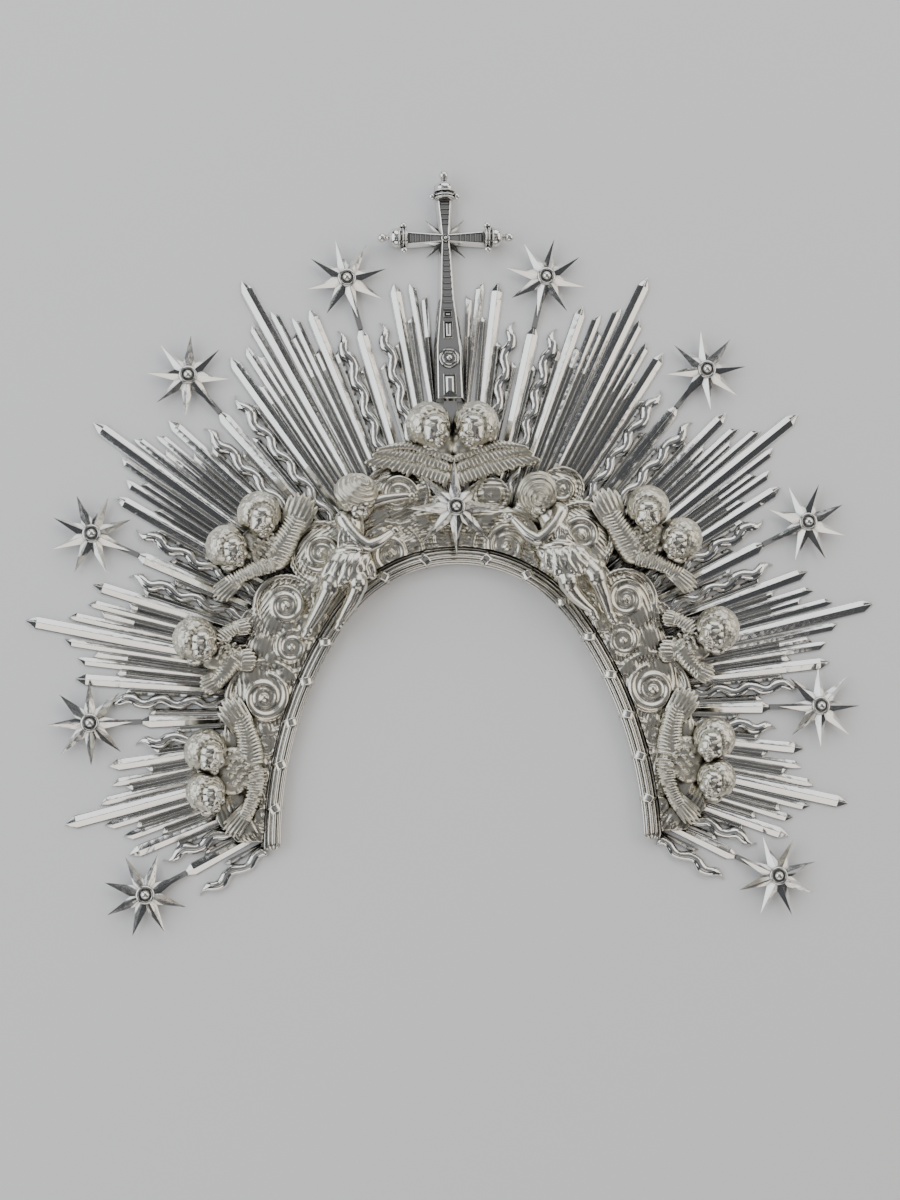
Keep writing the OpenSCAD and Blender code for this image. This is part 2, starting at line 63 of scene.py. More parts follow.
# Soft boxes: name, place in metres, watts, width and height in metres, colour
SOFT_BOXES = [
    ("box_left", (-1.7, 0.15, 0.95), 27, 2.6, 1.7, (0.93, 0.97, 1.0)),
    ("box_right", (1.7, 0.30, 0.85), 15, 2.0, 1.4, (1.0, 0.93, 0.84)),
    ("box_top", (0.25, 1.8, 1.0), 22, 2.6, 1.5, (0.96, 0.98, 1.0)),
    ("box_foot", (-0.1, -1.8, 0.7), 11, 2.2, 1.0, (1.0, 0.94, 0.88)),
    ("box_over", (0.25, 0.35, 2.5), 3, 2.6, 2.2, (1.0, 1.0, 1.0)),
    ("box_high_left", (-1.1, 0.3, 1.8), 1.8, 0.6, 1.1, (0.93, 0.97, 1.0)),
    ("box_high_back", (0.1, 1.45, 1.8), 1.8, 1.3, 0.5, (1.0, 0.97, 0.92)),
    ("box_high_right", (1.5, 0.5, 1.7), 1.3, 0.5, 0.9, (1.0, 0.93, 0.84)),
    ("box_high_foot", (0.0, -1.0, 1.8), 1.1, 1.0, 0.4, (1.0, 0.94, 0.88)),
]
for name, place, watts, wide, tall, colour in SOFT_BOXES:
    bpy.ops.object.light_add(type="AREA", location=place)
    lamp = bpy.context.object
    lamp.name = name
    lamp.data.shape = "RECTANGLE"
    lamp.data.size = wide
    lamp.data.size_y = tall
    lamp.data.energy = watts
    lamp.data.color = colour
    lamp.rotation_euler = Vector(place).to_track_quat("Z", "Y").to_euler()

camera_back = Vector((-0.0947, -0.1136, 0.9890))
camera_up = Vector((0.0193, 0.9930, 0.1159))
bpy.ops.object.camera_add(location=(-0.1430, -0.2013, 1.4584))
camera = bpy.context.object
turn = Matrix([camera_up.cross(camera_back), camera_up, camera_back]).transposed()
camera.rotation_euler = turn.to_euler()
camera.data.lens = 75
camera.data.sensor_fit = "VERTICAL"
camera.data.sensor_height = 36
bpy.context.scene.camera = camera

# The rim: a bundle of reeds bound with slanted ribbons round the inside of the arch.
# It is drawn silver, planished and then burnished, so that it is the smoothest metal here
# and only the hollows between the reeds darken, with tarnish and painted shade. Its feet are rounded off.
feet_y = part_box("rim_right")[0][1]
crown_half = 0.106
crown_high = 0.1645
crown_r = 0.080
side_r = (crown_half ** 2 + crown_high ** 2 - 2 * crown_high * crown_r) / (2 * (crown_half - crown_r))
side_x = crown_half - side_r
crown_y = crown_high - crown_r
join_angle = atan2(crown_y, -side_x)
crown_arc = crown_r * (pi / 2 - join_angle)
arch_length = crown_arc + side_r * join_angle
bundle_r = 3.4 * mm
reed_r = 1.1 * mm
bundle_out = bundle_r + reed_r
tie_pitch = 25 * mm
first_tie = 17.5 * mm
tie_wide = 3.6 * mm
tie_slant = radians(-34)


class Wire:
    """One value in a material's nodes. Sums and products of wires add their Math nodes."""

    def __init__(self, tree, socket=None):
        self.tree = tree
        self.socket = socket

    def node(self, kind, inputs, settings=None, output=0):
        made = self.tree.nodes.new(kind)
        for name, value in (settings or {}).items():
            setattr(made, name, value)
        for name, value in inputs.items():
            if isinstance(value, Wire):
                self.tree.links.new(value.socket, made.inputs[name])
            else:
                made.inputs[name].default_value = value
        return Wire(self.tree, made.outputs[output])

    def maths(self, operation, first, second):
        return self.node("ShaderNodeMath", {0: first, 1: second}, {"operation": operation})

    def mix(self, factor, first, second):
        sockets = {0: factor, 6: first, 7: second}
        return self.node("ShaderNodeMix", sockets, {"data_type": "RGBA"}, output=2)

    def __add__(self, other):
        return self.maths("ADD", self, other)

    def __radd__(self, other):
        return self.maths("ADD", other, self)

    def __sub__(self, other):
        return self.maths("SUBTRACT", self, other)

    def __rsub__(self, other):
        return self.maths("SUBTRACT", other, self)

    def __mul__(self, other):
        return self.maths("MULTIPLY", self, other)

    def __rmul__(self, other):
        return self.maths("MULTIPLY", other, self)


def silver(name, bright, dull, tarnish_and_shade, shut_in, smooth, rough, dent, dent_size, chased_below=-1.0):
    """Silver: bright where rubbed, dark where shut in with tarnish and painted shade, and chased with grooves
    where it lies low.
    """
    finish = bpy.data.materials.new(name)
    finish.use_nodes = True
    tree = finish.node_tree
    wire = Wire(tree)
    place = wire.node("ShaderNodeTexCoord", {}, output="Object")
    cloudy = wire.node("ShaderNodeTexNoise", {"Vector": place, "Scale": 38.0, "Detail": 4.0})
    fine = wire.node("ShaderNodeTexNoise", {"Vector": place, "Scale": 420.0, "Detail": 3.0})
    dents = wire.node("ShaderNodeTexVoronoi", {"Vector": place, "Scale": 1 / dent_size})
    # Painted shade: the ambient occlusion below darkens the colour in hollows and where parts meet, as shade
    # falls there; it also stands for the tarnish that silver keeps in its hollows
    open_sky = wire.node("ShaderNodeAmbientOcclusion", {"Distance": shut_in}, {"samples": 8}, output="AO")
    worn_and_lit = wire.node("ShaderNodeMapRange", {"Value": open_sky, "From Min": 0.25, "From Max": 0.85})
    height = wire.node("ShaderNodeSeparateXYZ", {"Vector": place}, output="Z")
    groove_fade = 1.2 * mm
    low = wire.node("ShaderNodeMapRange",
                    {"Value": height, "From Min": chased_below + groove_fade, "From Max": chased_below})
    round_crown = wire.node("ShaderNodeMapping", {"Vector": place, "Location": (0, -crown_y - feet_y, 0)})
    waves = wire.node(
        "ShaderNodeTexWave",
        {"Vector": round_crown, "Scale": 120.0, "Distortion": 16.0, "Detail": 1.0, "Detail Scale": 0.2},
        {"wave_type": "RINGS", "rings_direction": "Z"}, output="Fac")
    grooves = low * waves
    ground = wire.mix(cloudy, dull, bright)
    # The colour runs to the dark tarnish colour where the metal is shut in and, on chased silver, halfway in
    # the grooves: tarnish and painted shade together
    colour = wire.mix(worn_and_lit * (1 - 0.5 * grooves), tarnish_and_shade, ground)
    roughness = smooth + (rough - smooth) * (0.6 * fine + 0.6 * (1 - worn_and_lit))
    # Heights are in depths of a dent: the grain is a third as deep and a groove five times as deep
    relief = dents + 0.3 * fine - 5 * grooves
    bump = wire.node("ShaderNodeBump", {"Strength": 1.0, "Distance": dent, "Height": relief})
    base = tree.nodes["Principled BSDF"]
    base.inputs["Metallic"].default_value = 1
    tree.links.new(colour.socket, base.inputs["Base Color"])
    tree.links.new(roughness.socket, base.inputs["Roughness"])
    tree.links.new(bump.socket, base.inputs["Normal"])
    return finish


def arch_point(place, out):
    """A point at a distance along the rim from the crown and a distance out from its edge."""
    if abs(place) < crown_arc:
        turn = pi / 2 - place / crown_r
        return (crown_r + out) * cos(turn), crown_y + (crown_r + out) * sin(turn) + feet_y
    turn = join_angle - (abs(place) - crown_arc) / side_r
    x = side_x + (side_r + out) * cos(turn)
    return copysign(x, place), (side_r + out) * sin(turn) + feet_y


def only(piece):
    bpy.ops.object.select_all(action="DESELECT")
    piece.select_set(True)
    bpy.context.view_layer.objects.active = piece


def settle(piece):
    """Moves the object's place, turn and scale into its mesh."""
    only(piece)
    bpy.ops.object.transform_apply(location=True, rotation=True, scale=True)


def remove(*pieces):
    for piece in pieces:
        only(piece)
        bpy.ops.object.delete()


def join(name, pieces):
    only(pieces[0])
    for piece in pieces:
        piece.select_set(True)
    bpy.ops.object.join()
    pieces[0].name = name
    pieces[0].data.name = name
    return pieces[0]


def copy_of(piece):
    only(piece)
    bpy.ops.object.duplicate()
    return bpy.context.object


def face_outwards(piece):
    only(piece)
    bpy.ops.object.mode_set(mode="EDIT")
    bpy.ops.mesh.select_all(action="SELECT")
    bpy.ops.mesh.normals_make_consistent(inside=False)
    bpy.ops.object.mode_set(mode="OBJECT")


def mirror(piece):
    """Turns a piece into its mirror image on the other side of the axis."""
    piece.scale = (-1, 1, 1)
    settle(piece)
    face_outwards(piece)
    return piece


def mirror_copy(piece):
    return mirror(copy_of(piece))


def coat(piece, finish):
    piece.data.materials.clear()
    piece.data.materials.append(finish)
    return piece


def hand_over(piece, finish, node):
    """Gives a finished piece its metal, unless it has one, hangs it on the root body and hides the CAD node
    whose place it takes.
    """
    if finish:
        coat(piece, finish)
    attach(piece, "root")
    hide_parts(node)


def hand_over_pair(right, finish, node):
    """Hands over a piece of the right side, and its mirror image."""
    left = mirror_copy(right)
    left.name = right.name.replace("right", "left")
    hand_over(right, finish, node + "_right")
    hand_over(left, finish, node + "_left")


def add_tube(line, widths, roundness=3):
    """A smooth tube along a line of points, with a radius at each."""
    bpy.ops.curve.primitive_nurbs_path_add(location=(0, 0, 0))
    tube = bpy.context.object
    spline = tube.data.splines[0]
    spline.points.add(len(line) - len(spline.points))
    for point, place, width in zip(spline.points, line, widths):
        point.co = (*place, 1)
        point.radius = width / mm
    spline.use_endpoint_u = True
    spline.order_u = 3
    tube.data.dimensions = "3D"
    tube.data.bevel_depth = mm
    tube.data.bevel_resolution = roundness
    tube.data.resolution_u = 2 if roundness < 5 else 8
    tube.data.use_fill_caps = True
    bpy.ops.object.convert(target="MESH")
    bpy.ops.object.shade_smooth_by_angle(angle=radians(50))
    return tube


def rim_length(start, end, rounded):
    """The reeds of one length of the rim. A rounded length draws in to a blunt end."""
    steps = round((end - start) / (4 * mm))
    places = [start + (end - start) * step / steps for step in range(steps)]
    if rounded:
        places += [end - share * bundle_out for share in (0.8, 0.6, 0.4, 0.22, 0.1, 0.03)]
    places.append(end)
    draw_in = [sqrt(max(0.02, 1 - max(0, 1 - (end - place) / bundle_out) ** 2)) if rounded else 1
               for place in places]
    parts = []
    for number in range(-1, 5):
        turn = radians(45 * number)
        line = [(*arch_point(place, bundle_out + share * bundle_r * cos(turn)),
                 bundle_out + share * bundle_r * sin(turn)) for place, share in zip(places, draw_in)]
        parts.append(add_tube(line, [reed_r * share for share in draw_in]))
    # The core inside the reeds, the strip under the clouds and the small bead that edges it, in millimetres
    for out, high, radius in ((4.5, 4.1, 3.6), (8.2, 3.4, 1.6), (9.3, 5.4, 0.8)):
        line = [(*arch_point(place, out * mm), high * mm) for place in places]
        parts.append(add_tube(line, [radius * mm * share for share in draw_in]))
    return parts


def add_ring(radius, thick, place, around=40, sides=10, turn=(0, 0, 0)):
    bpy.ops.mesh.primitive_torus_add(major_radius=radius, minor_radius=thick, major_segments=around,
                                     minor_segments=sides, location=place, rotation=turn)
    settle(bpy.context.object)
    return bpy.context.object


def cut_across(piece, place, way, **cleared):
    """Cuts a piece through at a place. If it clears one side, it closes the cut."""
    only(piece)
    bpy.ops.object.mode_set(mode="EDIT")
    bpy.ops.mesh.select_all(action="SELECT")
    bpy.ops.mesh.bisect(plane_co=place, plane_no=way, use_fill=bool(cleared), **cleared)
    bpy.ops.object.mode_set(mode="OBJECT")


def tie_pattern():
    """A ribbon with raised edges, slanted round the bundle. The rim runs along Y and faces out along X."""
    bpy.ops.mesh.primitive_cylinder_add(vertices=32, radius=bundle_out + 0.1 * mm, depth=tie_wide)
    parts = [bpy.context.object]
    edges = (-2.0 * mm, 2.0 * mm)
    parts += [add_ring(bundle_out + 0.15 * mm, 0.45 * mm, (0, 0, edge), sides=8) for edge in edges]
    tie = join("pattern_tie", parts)
    tie.rotation_euler = (radians(90), 0, tie_slant)
    settle(tie)
    tie.location = (bundle_out, 0, bundle_out)
    settle(tie)
    cut_across(tie, (0, 0, 0.05 * mm), (0, 0, -1), clear_outer=True)
    cut_across(tie, (9.4 * mm, 0, 0), (1, 0, 0), clear_outer=True)
    bpy.ops.object.shade_smooth_by_angle(angle=radians(40))
    return tie


def tie_at(place):
    x, y = arch_point(place, 0)
    out_x, out_y = arch_point(place, mm)
    tie = copy_of(the_tie)
    tie.rotation_euler = (0, 0, atan2(out_y - y, out_x - x))
    tie.location = (x, y, 0)
    settle(tie)
    return tie


# Its darkest colour is tarnish and painted shade in the hollows between the reeds
burnished = silver(
    "burnished_silver", bright=(0.88, 0.86, 0.80, 1), dull=(0.68, 0.65, 0.58, 1),
    tarnish_and_shade=(0.16, 0.14, 0.11, 1), shut_in=0.003, smooth=0.12, rough=0.30, dent=0.00006, dent_size=0.003,
)
the_tie = tie_pattern()
tie_places = [first_tie + tie_pitch * number for number in range(8)]
side_rim = rim_length(crown_arc + 0.15 * mm, arch_length, True)
side_rim += [tie_at(place) for place in tie_places if place > crown_arc]
hand_over_pair(join("reeds_right", side_rim), burnished, "rim")
crown_ties = [tie_at(place) for place in tie_places if place < crown_arc]
crown_rim = rim_length(-crown_arc, crown_arc, False) + crown_ties + [mirror_copy(tie) for tie in crown_ties]
hand_over(join("reeds_crown", crown_rim), burnished, "rim_crown")
remove(the_tie)

# The rays: straight rays with a ridge and a cut point, and flames between them, soldered into fans.
# Each is bent from polished sheet silver. They run from under the clouds, close together,
# and every fan but the first starts with the long ray that carries a star.
ray_start = 0.022
# The lowest rays start close to the foot of the arch
foot_start = 0.009
foot_angle = -24
full_width_reach = 0.195
ray_edge = 1 * mm
# Half width, half width at the root, ridge height, length of the cut point, place of the tip across
RAYS = {
    "short": (2.0 * mm, 0.6 * mm, 2.3 * mm, 3 * mm, 0.8),
    "medium": (2.6 * mm, 1.2 * mm, 2.7 * mm, 4.5 * mm, -0.5),
    "major": (3.5 * mm, 2.0 * mm, 3.2 * mm, 6 * mm, 0),
    "long": (3.8 * mm, 2.4 * mm, 3.4 * mm, 6.5 * mm, 0),
}
# Star rays of one side: angle, reach of the shoulder, reach of the star's centre
STAR_RAYS = [
    (75.6, 0.211, 0.240),
    (49.9, 0.2135, 0.240),
    (25, 0.2065, 0.234),
    (-0.65, 0.187, 0.2145),
    (-26.7, 0.182, 0.2065),
]
LONGEST = [0.2667, 0.2649, 0.2567, 0.2364]
# One half of a fan: kind, share of the fan's angle, reach as a share of the longest ray
FAN_HALF = [
    ("short", 0.066, 0.705),
    ("flame", 0.128, 0.8),
    ("short", 0.186, 0.762),
    ("major", 0.243, 0.872),
    ("short", 0.298, 0.783),
    ("medium", 0.342, 0.871),
    ("short", 0.387, 0.838),
    ("medium", 0.432, 0.907),
]
# Rays beside the cross: kind, height where they converge, angle, reach from there
TOP_RAYS = [
    ("short", 0.107, 86.5, 0.2204),
    ("medium", 0.1847, 82.1, 0.1517),
    ("short", 0.1169, 83.6, 0.1991),
    ("major", 0.1292, 81.35, 0.2082),
    ("short", 0.1038, 81.2, 0.1982),
    ("flame", 0.1353, 77.3, 0.1801),
    ("short", 0.1323, 75.6, 0.1593),
]
# Below the lowest star ray: kind, angle, reach
LOW_RAYS = [("short", -28.9, 0.158), ("flame", -30.9, 0.179)]


def hub_y(angle):
    """Height above the feet at which a ray of this angle meets the axis."""
    return 0.0784 + 0.000342 * angle


def reach_to_arch(angle, hub, out):
    """Distance along a ray from the axis to the line that runs round the arch at the distance out."""
    wide = crown_half + out
    high = crown_high + out
    across = cos(radians(angle))
    along = sin(radians(angle))
    p = (across / wide) ** 2 + (along / high) ** 2
    q = hub * along / high ** 2
    return (-q + sqrt(q * q - p * (hub * hub / high ** 2 - 1))) / p


def select_points(piece, test):
    """Goes into edit mode with the vertices selected for which test is true."""
    bpy.ops.object.mode_set(mode="EDIT")
    bpy.ops.mesh.select_all(action="DESELECT")
    bpy.ops.mesh.select_mode(type="VERT")
    bpy.ops.object.mode_set(mode="OBJECT")
    for point in piece.data.vertices:
        point.select = test(point.co)
    bpy.ops.object.mode_set(mode="EDIT")


def add_block(name, low, high):
    """A block between two corners, with its place in its mesh."""
    middle = [(a + b) / 2 for a, b in zip(low, high)]
    bpy.ops.mesh.primitive_cube_add(size=1, location=middle)
    block = bpy.context.object
    block.name = name
    block.scale = [b - a for a, b in zip(low, high)]
    settle(block)
    return block


def modify(piece, kind, **settings):
    """Adds a modifier with its settings to a piece and applies it."""
    only(piece)
    made = piece.modifiers.new(kind.lower(), kind)
    for name, value in settings.items():
        setattr(made, name, value)
    bpy.ops.object.modifier_apply(modifier=made.name)


pattern_len = 0.1
ridge_strip = 0.86
for kind, (half, root_half, ridge, cut, tip_place) in RAYS.items():
    ray = add_block("pattern_" + kind, (-pattern_len, -half, 0), (0, half, ray_edge))
    for strip in (-ridge_strip, 0, ridge_strip):
        cut_across(ray, (0, strip * half, 0), (0, 1, 0))
    for place in (-cut, -0.3 * pattern_len):
        cut_across(ray, (place, 0, 0), (1, 0, 0))
    select_points(ray, lambda p: abs(p.y) < 0.1 * half and p.z > 0.5 * ray_edge and p.x < -0.5 * cut)
    bpy.ops.transform.translate(value=(0, 0, ridge - ray_edge))
    select_points(ray, lambda p: p.x > -0.5 * cut)
    bpy.ops.transform.resize(value=(1, 0, 1))
    bpy.ops.transform.translate(value=(0, tip_place * half, 0))
    bpy.ops.mesh.remove_doubles(threshold=1e-5)
    select_points(ray, lambda p: p.x < -0.9 * pattern_len)
    bpy.ops.transform.resize(value=(1, root_half / half, 1))
    bpy.ops.object.mode_set(mode="OBJECT")
    modify(ray, "BEVEL", width=0.22 * mm, segments=2, limit_method="ANGLE", angle_limit=radians(20))
    bpy.ops.object.shade_smooth_by_angle(angle=radians(12))

# A flame starts as a block cut into short lengths, which are then moved from side to side
flame_len = 0.135
flame_cuts = 72
flame_wave = 0.019
flame_half = 3.1 * mm
flame_edge = 2.2 * mm
flame_ridge = 1.7 * mm
flame_sway = 1.6 * mm
flame = add_block("pattern_flame", (-flame_len, -flame_half, 0), (0, flame_half, flame_edge))
cut_across(flame, (0, 0, 0), (0, 1, 0))
for cut in range(1, flame_cuts):
    cut_across(flame, (-flame_len * cut / flame_cuts, 0, 0), (1, 0, 0))
select_points(flame, lambda p: abs(p.y) < 1e-6 and p.z > 0.5 * flame_edge)
bpy.ops.transform.translate(value=(0, 0, flame_ridge))
for cut in range(flame_cuts + 1):
    place = -flame_len * cut / flame_cuts
    from_tip = -place / flame_wave
    leaf = sin(pi * min(0.5, 0.8 * from_tip)) * (1 + 0.16 * exp(-(2 * from_tip - 1.4) ** 2))
    swell = 1 - 0.14 * sin(4 * pi * from_tip) - 0.03 * from_tip
    sway = flame_sway * sin(from_tip * 2 * pi + 0.5) - flame_sway * max(0, 1 - 2.5 * from_tip) ** 2
    select_points(flame, lambda p: abs(p.x - place) < 1e-5)
    bpy.ops.transform.resize(value=(1, max(0.05, leaf * swell), 0.3 + 0.7 * leaf),
                             center_override=(place, 0, 0))
    bpy.ops.transform.translate(value=(0, sway, 0))
bpy.ops.object.mode_set(mode="OBJECT")
bpy.ops.object.shade_smooth_by_angle(angle=radians(80))


def lay_ray(kind, hub, angle, reach, side, mirrored):
    """Copies the pattern of a ray, gives it its length and turns it to its place in a fan."""
    start = reach_to_arch(angle, hub, foot_start if angle < foot_angle else ray_start)
    ray = copy_of(bpy.data.objects["pattern_" + kind])
    if kind == "flame":
        cut_across(ray, (start - reach, 0, 0), (1, 0, 0), clear_inner=True)
    else:
        full = max(reach - full_width_reach, RAYS[kind][3] + 1 * mm)
        select_points(ray, lambda p: -0.5 * pattern_len < p.x < -0.2 * pattern_len)
        bpy.ops.transform.translate(value=(0.3 * pattern_len - full, 0, 0))
        select_points(ray, lambda p: p.x < -0.9 * pattern_len)
        bpy.ops.transform.translate(value=(pattern_len - (reach - start), 0, 0))
        bpy.ops.object.mode_set(mode="OBJECT")
    turn = radians(angle)
    ray.scale = (1, side, 1)
    ray.rotation_euler = (0, 0, turn)
    ray.location = (reach * cos(turn), hub + feet_y + reach * sin(turn), 0)
    settle(ray)
    face_outwards(ray)
    return mirror(ray) if mirrored else ray


def rays_of_fan(number):
    """Kind, hub, angle, reach and side of each ray of one fan, from the axis outwards."""
    if number == 1:
        return [(kind, hub, angle, reach, 1) for kind, hub, angle, reach in TOP_RAYS]
    star_angle, shoulder, _ = STAR_RAYS[number - 2]
    rays = [("long", hub_y(star_angle), star_angle, shoulder, 1)]
    if number == 6:
        return rays + [(kind, hub_y(angle), angle, reach, 1) for kind, angle, reach in LOW_RAYS]
    span = STAR_RAYS[number - 1][0] - star_angle
    for side in (1, -1):
        for kind, share, length in FAN_HALF:
            angle = star_angle + span * (share if side > 0 else 1 - share)
            rays.append((kind, hub_y(angle), angle, LONGEST[number - 2] * length, side))
    middle = star_angle + span / 2
    rays.append(("long", hub_y(middle), middle, LONGEST[number - 2], 1))
    return rays


# Its near-black darkest colour is tarnish and painted shade where the rays lie close together
polished = silver(
    "polished_silver", bright=(0.92, 0.91, 0.88, 1), dull=(0.72, 0.71, 0.68, 1),
    tarnish_and_shade=(0.07, 0.065, 0.06, 1), shut_in=0.005, smooth=0.07, rough=0.22, dent=0.00005, dent_size=0.004,
)
# The flat necks between the shoulders of the star rays and their stars
neck_half = 1.6 * mm
neck_high = 2.4 * mm
for side in ("left", "right"):
    for number in range(1, 7):
        rays = [lay_ray(*ray, mirrored=side == "left") for ray in rays_of_fan(number)]
        if number > 1:
            angle, shoulder, star_reach = STAR_RAYS[number - 2]
            neck = add_block("neck", (shoulder - 2 * mm, -neck_half, 0), (star_reach, neck_half, neck_high))
            neck.rotation_euler = (0, 0, radians(angle))
            neck.location = (0, hub_y(angle) + feet_y, 0)
            settle(neck)
            rays.append(mirror(neck) if side == "left" else neck)
        hand_over(join(f"rays_{side}_{number}", rays), polished, f"ray_fan_{side}_{number}")
remove(*[bpy.data.objects["pattern_" + kind] for kind in (*RAYS, "flame")])

# The stars: eight ridged points of sheet silver, raised in the middle,
# with a turned ring and a ball riveted through the centre on to the end of the star ray.
star_edge = 0.8 * mm


def star_pattern(radius, notch, high):
    """A star round the origin with one point along +X, standing on z = 0."""
    bpy.ops.mesh.primitive_cone_add(vertices=16, radius1=radius, radius2=0, depth=high - star_edge,
                                    location=(0, 0, (high + star_edge) / 2), rotation=(0, 0, radians(90)))
    points = bpy.context.object
    settle(points)

    def is_notch(p):
        turns = atan2(p.y, p.x) / radians(22.5)
        return p.length > 0.5 * radius and round(turns) % 2 == 1
    select_points(points, is_notch)
    bpy.ops.transform.resize(value=(notch / radius, notch / radius, 1), center_override=(0, 0, 0))
    select_points(points, lambda p: p.length > 0.9 * notch)
    bpy.ops.mesh.select_mode(type="FACE")
    bpy.ops.mesh.extrude_region_move(TRANSFORM_OT_translate={"value": (0, 0, -star_edge)})
    bpy.ops.object.mode_set(mode="OBJECT")
    return points


def star_boss(high):
    """The turned ring and the ball in the middle of a star."""
    bpy.ops.mesh.primitive_cylinder_add(vertices=40, radius=5.4 * mm, depth=0.5 * high,
                                        location=(0, 0, 0.6 * high))
    plate = bpy.context.object
    modify(plate, "BEVEL", width=0.4 * mm, segments=3)
    bpy.ops.object.shade_smooth_by_angle(angle=radians(35))
    settle(plate)
    ring = add_ring(4.4 * mm, 1.0 * mm, (0, 0, 0.86 * high), sides=12)
    bpy.ops.object.shade_smooth()
    bpy.ops.mesh.primitive_uv_sphere_add(segments=28, ring_count=16, radius=2.7 * mm, location=(0, 0, high))
    ball = bpy.context.object
    bpy.ops.object.shade_smooth()
    settle(ball)
    return [plate, ring, ball]


def place_star(name, pattern, centre, low, turn):
    """Copies a star pattern to its place and turns it about its own middle."""
    star = copy_of(pattern)
    star.name = name
    star.data.name = name
    star.rotation_euler = (0, 0, turn)
    star.location = (centre[0], centre[1], low)
    settle(star)
    return star


star_high = 5.2 * mm
ray_star = join("pattern_star", [star_pattern(24.5 * mm, 8.6 * mm, star_high)] + star_boss(star_high))
for side in ("left", "right"):
    for number, (angle, _, _) in enumerate(STAR_RAYS, start=1):
        low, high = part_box(f"star_{side}_{number}")
        centre = [(low[axis] + high[axis]) / 2 for axis in (0, 1)]
        turn = radians(angle if side == "right" else 180 - angle)
        star = place_star(f"ray_star_{side}_{number}", ray_star, centre, low[2], turn)
        hand_over(star, polished, f"star_{side}_{number}")

middle_high = 6 * mm
# How far below the top of the CAD's centre star the back of this one lies, so that it clears the coils
middle_back = 6.4 * mm
low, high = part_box("centre_star")
middle_star = join("pattern_star", [star_pattern(28.5 * mm, 9.2 * mm, middle_high)] + star_boss(middle_high))
star = place_star("star_of_the_clouds", middle_star, ((low[0] + high[0]) / 2, (low[1] + high[1]) / 2),
                  high[2] - middle_back, radians(90))
hand_over(star, polished, "centre_star")
remove(ray_star, middle_star)

# The clouds: a band of sheet silver raised from behind into coils and lobes, then chased from the front.
# It is soldered over the roots of the rays, outside the rim, in one piece over the crown and one a side.
cloud_in = 10.2 * mm
cloud_out = 38 * mm
cloud_low = 3.7 * mm
cloud_top = 6.6 * mm
cloud_voxel = 0.62 * mm
# Coils: place across and above the feet, radius, and the way that they turn
CROWN_COILS = [
    (-7.5, 179.5, 6.5, -1), (7.5, 179.5, 6.5, 1), (30.5, 174, 17, 1), (22, 205, 8.5, -1), (64.9, 208.4, 10, 1),
    (75.5, 180, 16, -1), (52, 160, 9, 1), (82, 150, 8, 1), (-19, 188, 5, -1), (-33, 206, 15, 1),
    (-38, 171, 15, -1), (-79, 172, 15, 1), (-58, 154, 7, -1), (-55, 212, 5, 1), (-90, 150, 7, -1),
]
SIDE_COILS = [
    (100.5, 141.5, 14.5, 1), (97.5, 117, 12.5, -1), (114, 88, 17.5, 1), (119.5, 132.5, 5.5, -1),
    (113.8, 60, 9, 1), (116, 41, 5.5, -1), (116, 20, 7, 1), (113.5, 107, 5, 1), (86, 128, 8, -1),
    (126, 110, 7, 1), (129, 71, 6, -1),
]
# Lobes: place along the rim, distance out, radius
CROWN_LOBES = [
    (4, 35, 9), (15, 44, 10), (31, 40, 10), (47, 39, 11), (62, 37, 10), (14, 28, 8), (45, 30, 8), (68, 24, 8),
    (56, 18, 6),
]
SIDE_LOBES = [
    (84, 35, 11), (96, 37, 10), (110, 36, 10), (126, 35, 10), (142, 35, 10), (160, 34, 9), (176, 31, 9),
    (190, 26, 8), (118, 18, 6), (150, 18, 6), (168, 17, 6), (183, 17, 6), (204, 20, 8),
]
feet = feet_y / mm


def at(x, y, z):
    """A place across, above the feet of the arch and above the table, in millimetres."""
    return (x * mm, y * mm + feet_y, z * mm)


def add_ball(x, y, z, half_x, half_y, half_z):
    """An oval ball, in millimetres."""
    bpy.ops.mesh.primitive_uv_sphere_add(segments=36, ring_count=20, location=(x * mm, y * mm, z * mm))
    ball = bpy.context.object
    ball.scale = (half_x * mm, half_y * mm, half_z * mm)
    settle(ball)
    return ball


def add_coil(x, y, z, radius, hand, turns=2.7):
    """A broad ribbon that coils in to a knob, each turn a little over half the width of the last."""
    steps = 64
    line = []
    widths = []
    for step in range(steps + 1):
        share = step / steps
        turn = hand * (2 * pi * turns * share + 0.8 + x)
        away = 0.82 * radius * 0.56 ** (turns * share)
        point = (x + away * cos(turn), y + away * sin(turn), z + 0.1 * radius * share)
        line.append([value * mm for value in point])
        widths.append(0.235 * away * min(1, 0.35 + 5 * share) * mm)
    knob = 0.15 * radius
    return [add_tube(line, widths), add_ball(x, y, z + 0.05 * radius, knob, knob, 0.17 * radius)]


def select_faces(piece, way):
    """Goes into edit mode with the faces selected that look a certain way."""
    only(piece)
    bpy.ops.object.mode_set(mode="EDIT")
    bpy.ops.mesh.select_all(action="DESELECT")
    bpy.ops.mesh.select_mode(type="FACE")
    bpy.ops.object.mode_set(mode="OBJECT")
    for face in piece.data.polygons:
        face.select = face.normal.dot(way) > 0.9
    bpy.ops.object.mode_set(mode="EDIT")


def add_band(centre_x, centre_y, radius, start, sweep):
    """A flat band bent round a centre, from the foot of the clouds to their face."""
    band = add_block("band", (radius + cloud_in, -0.2 * mm, cloud_low), (radius + cloud_out, 0, cloud_top))
    band.rotation_euler = (0, 0, start)
    band.location = (centre_x, centre_y, 0)
    settle(band)
    select_faces(band, Vector((-sin(start), cos(start), 0)))
    bpy.ops.mesh.spin(steps=round(sweep / 0.05), angle=-sweep, center=(centre_x, centre_y, 0), axis=(0, 0, 1))
    bpy.ops.object.mode_set(mode="OBJECT")
    return band


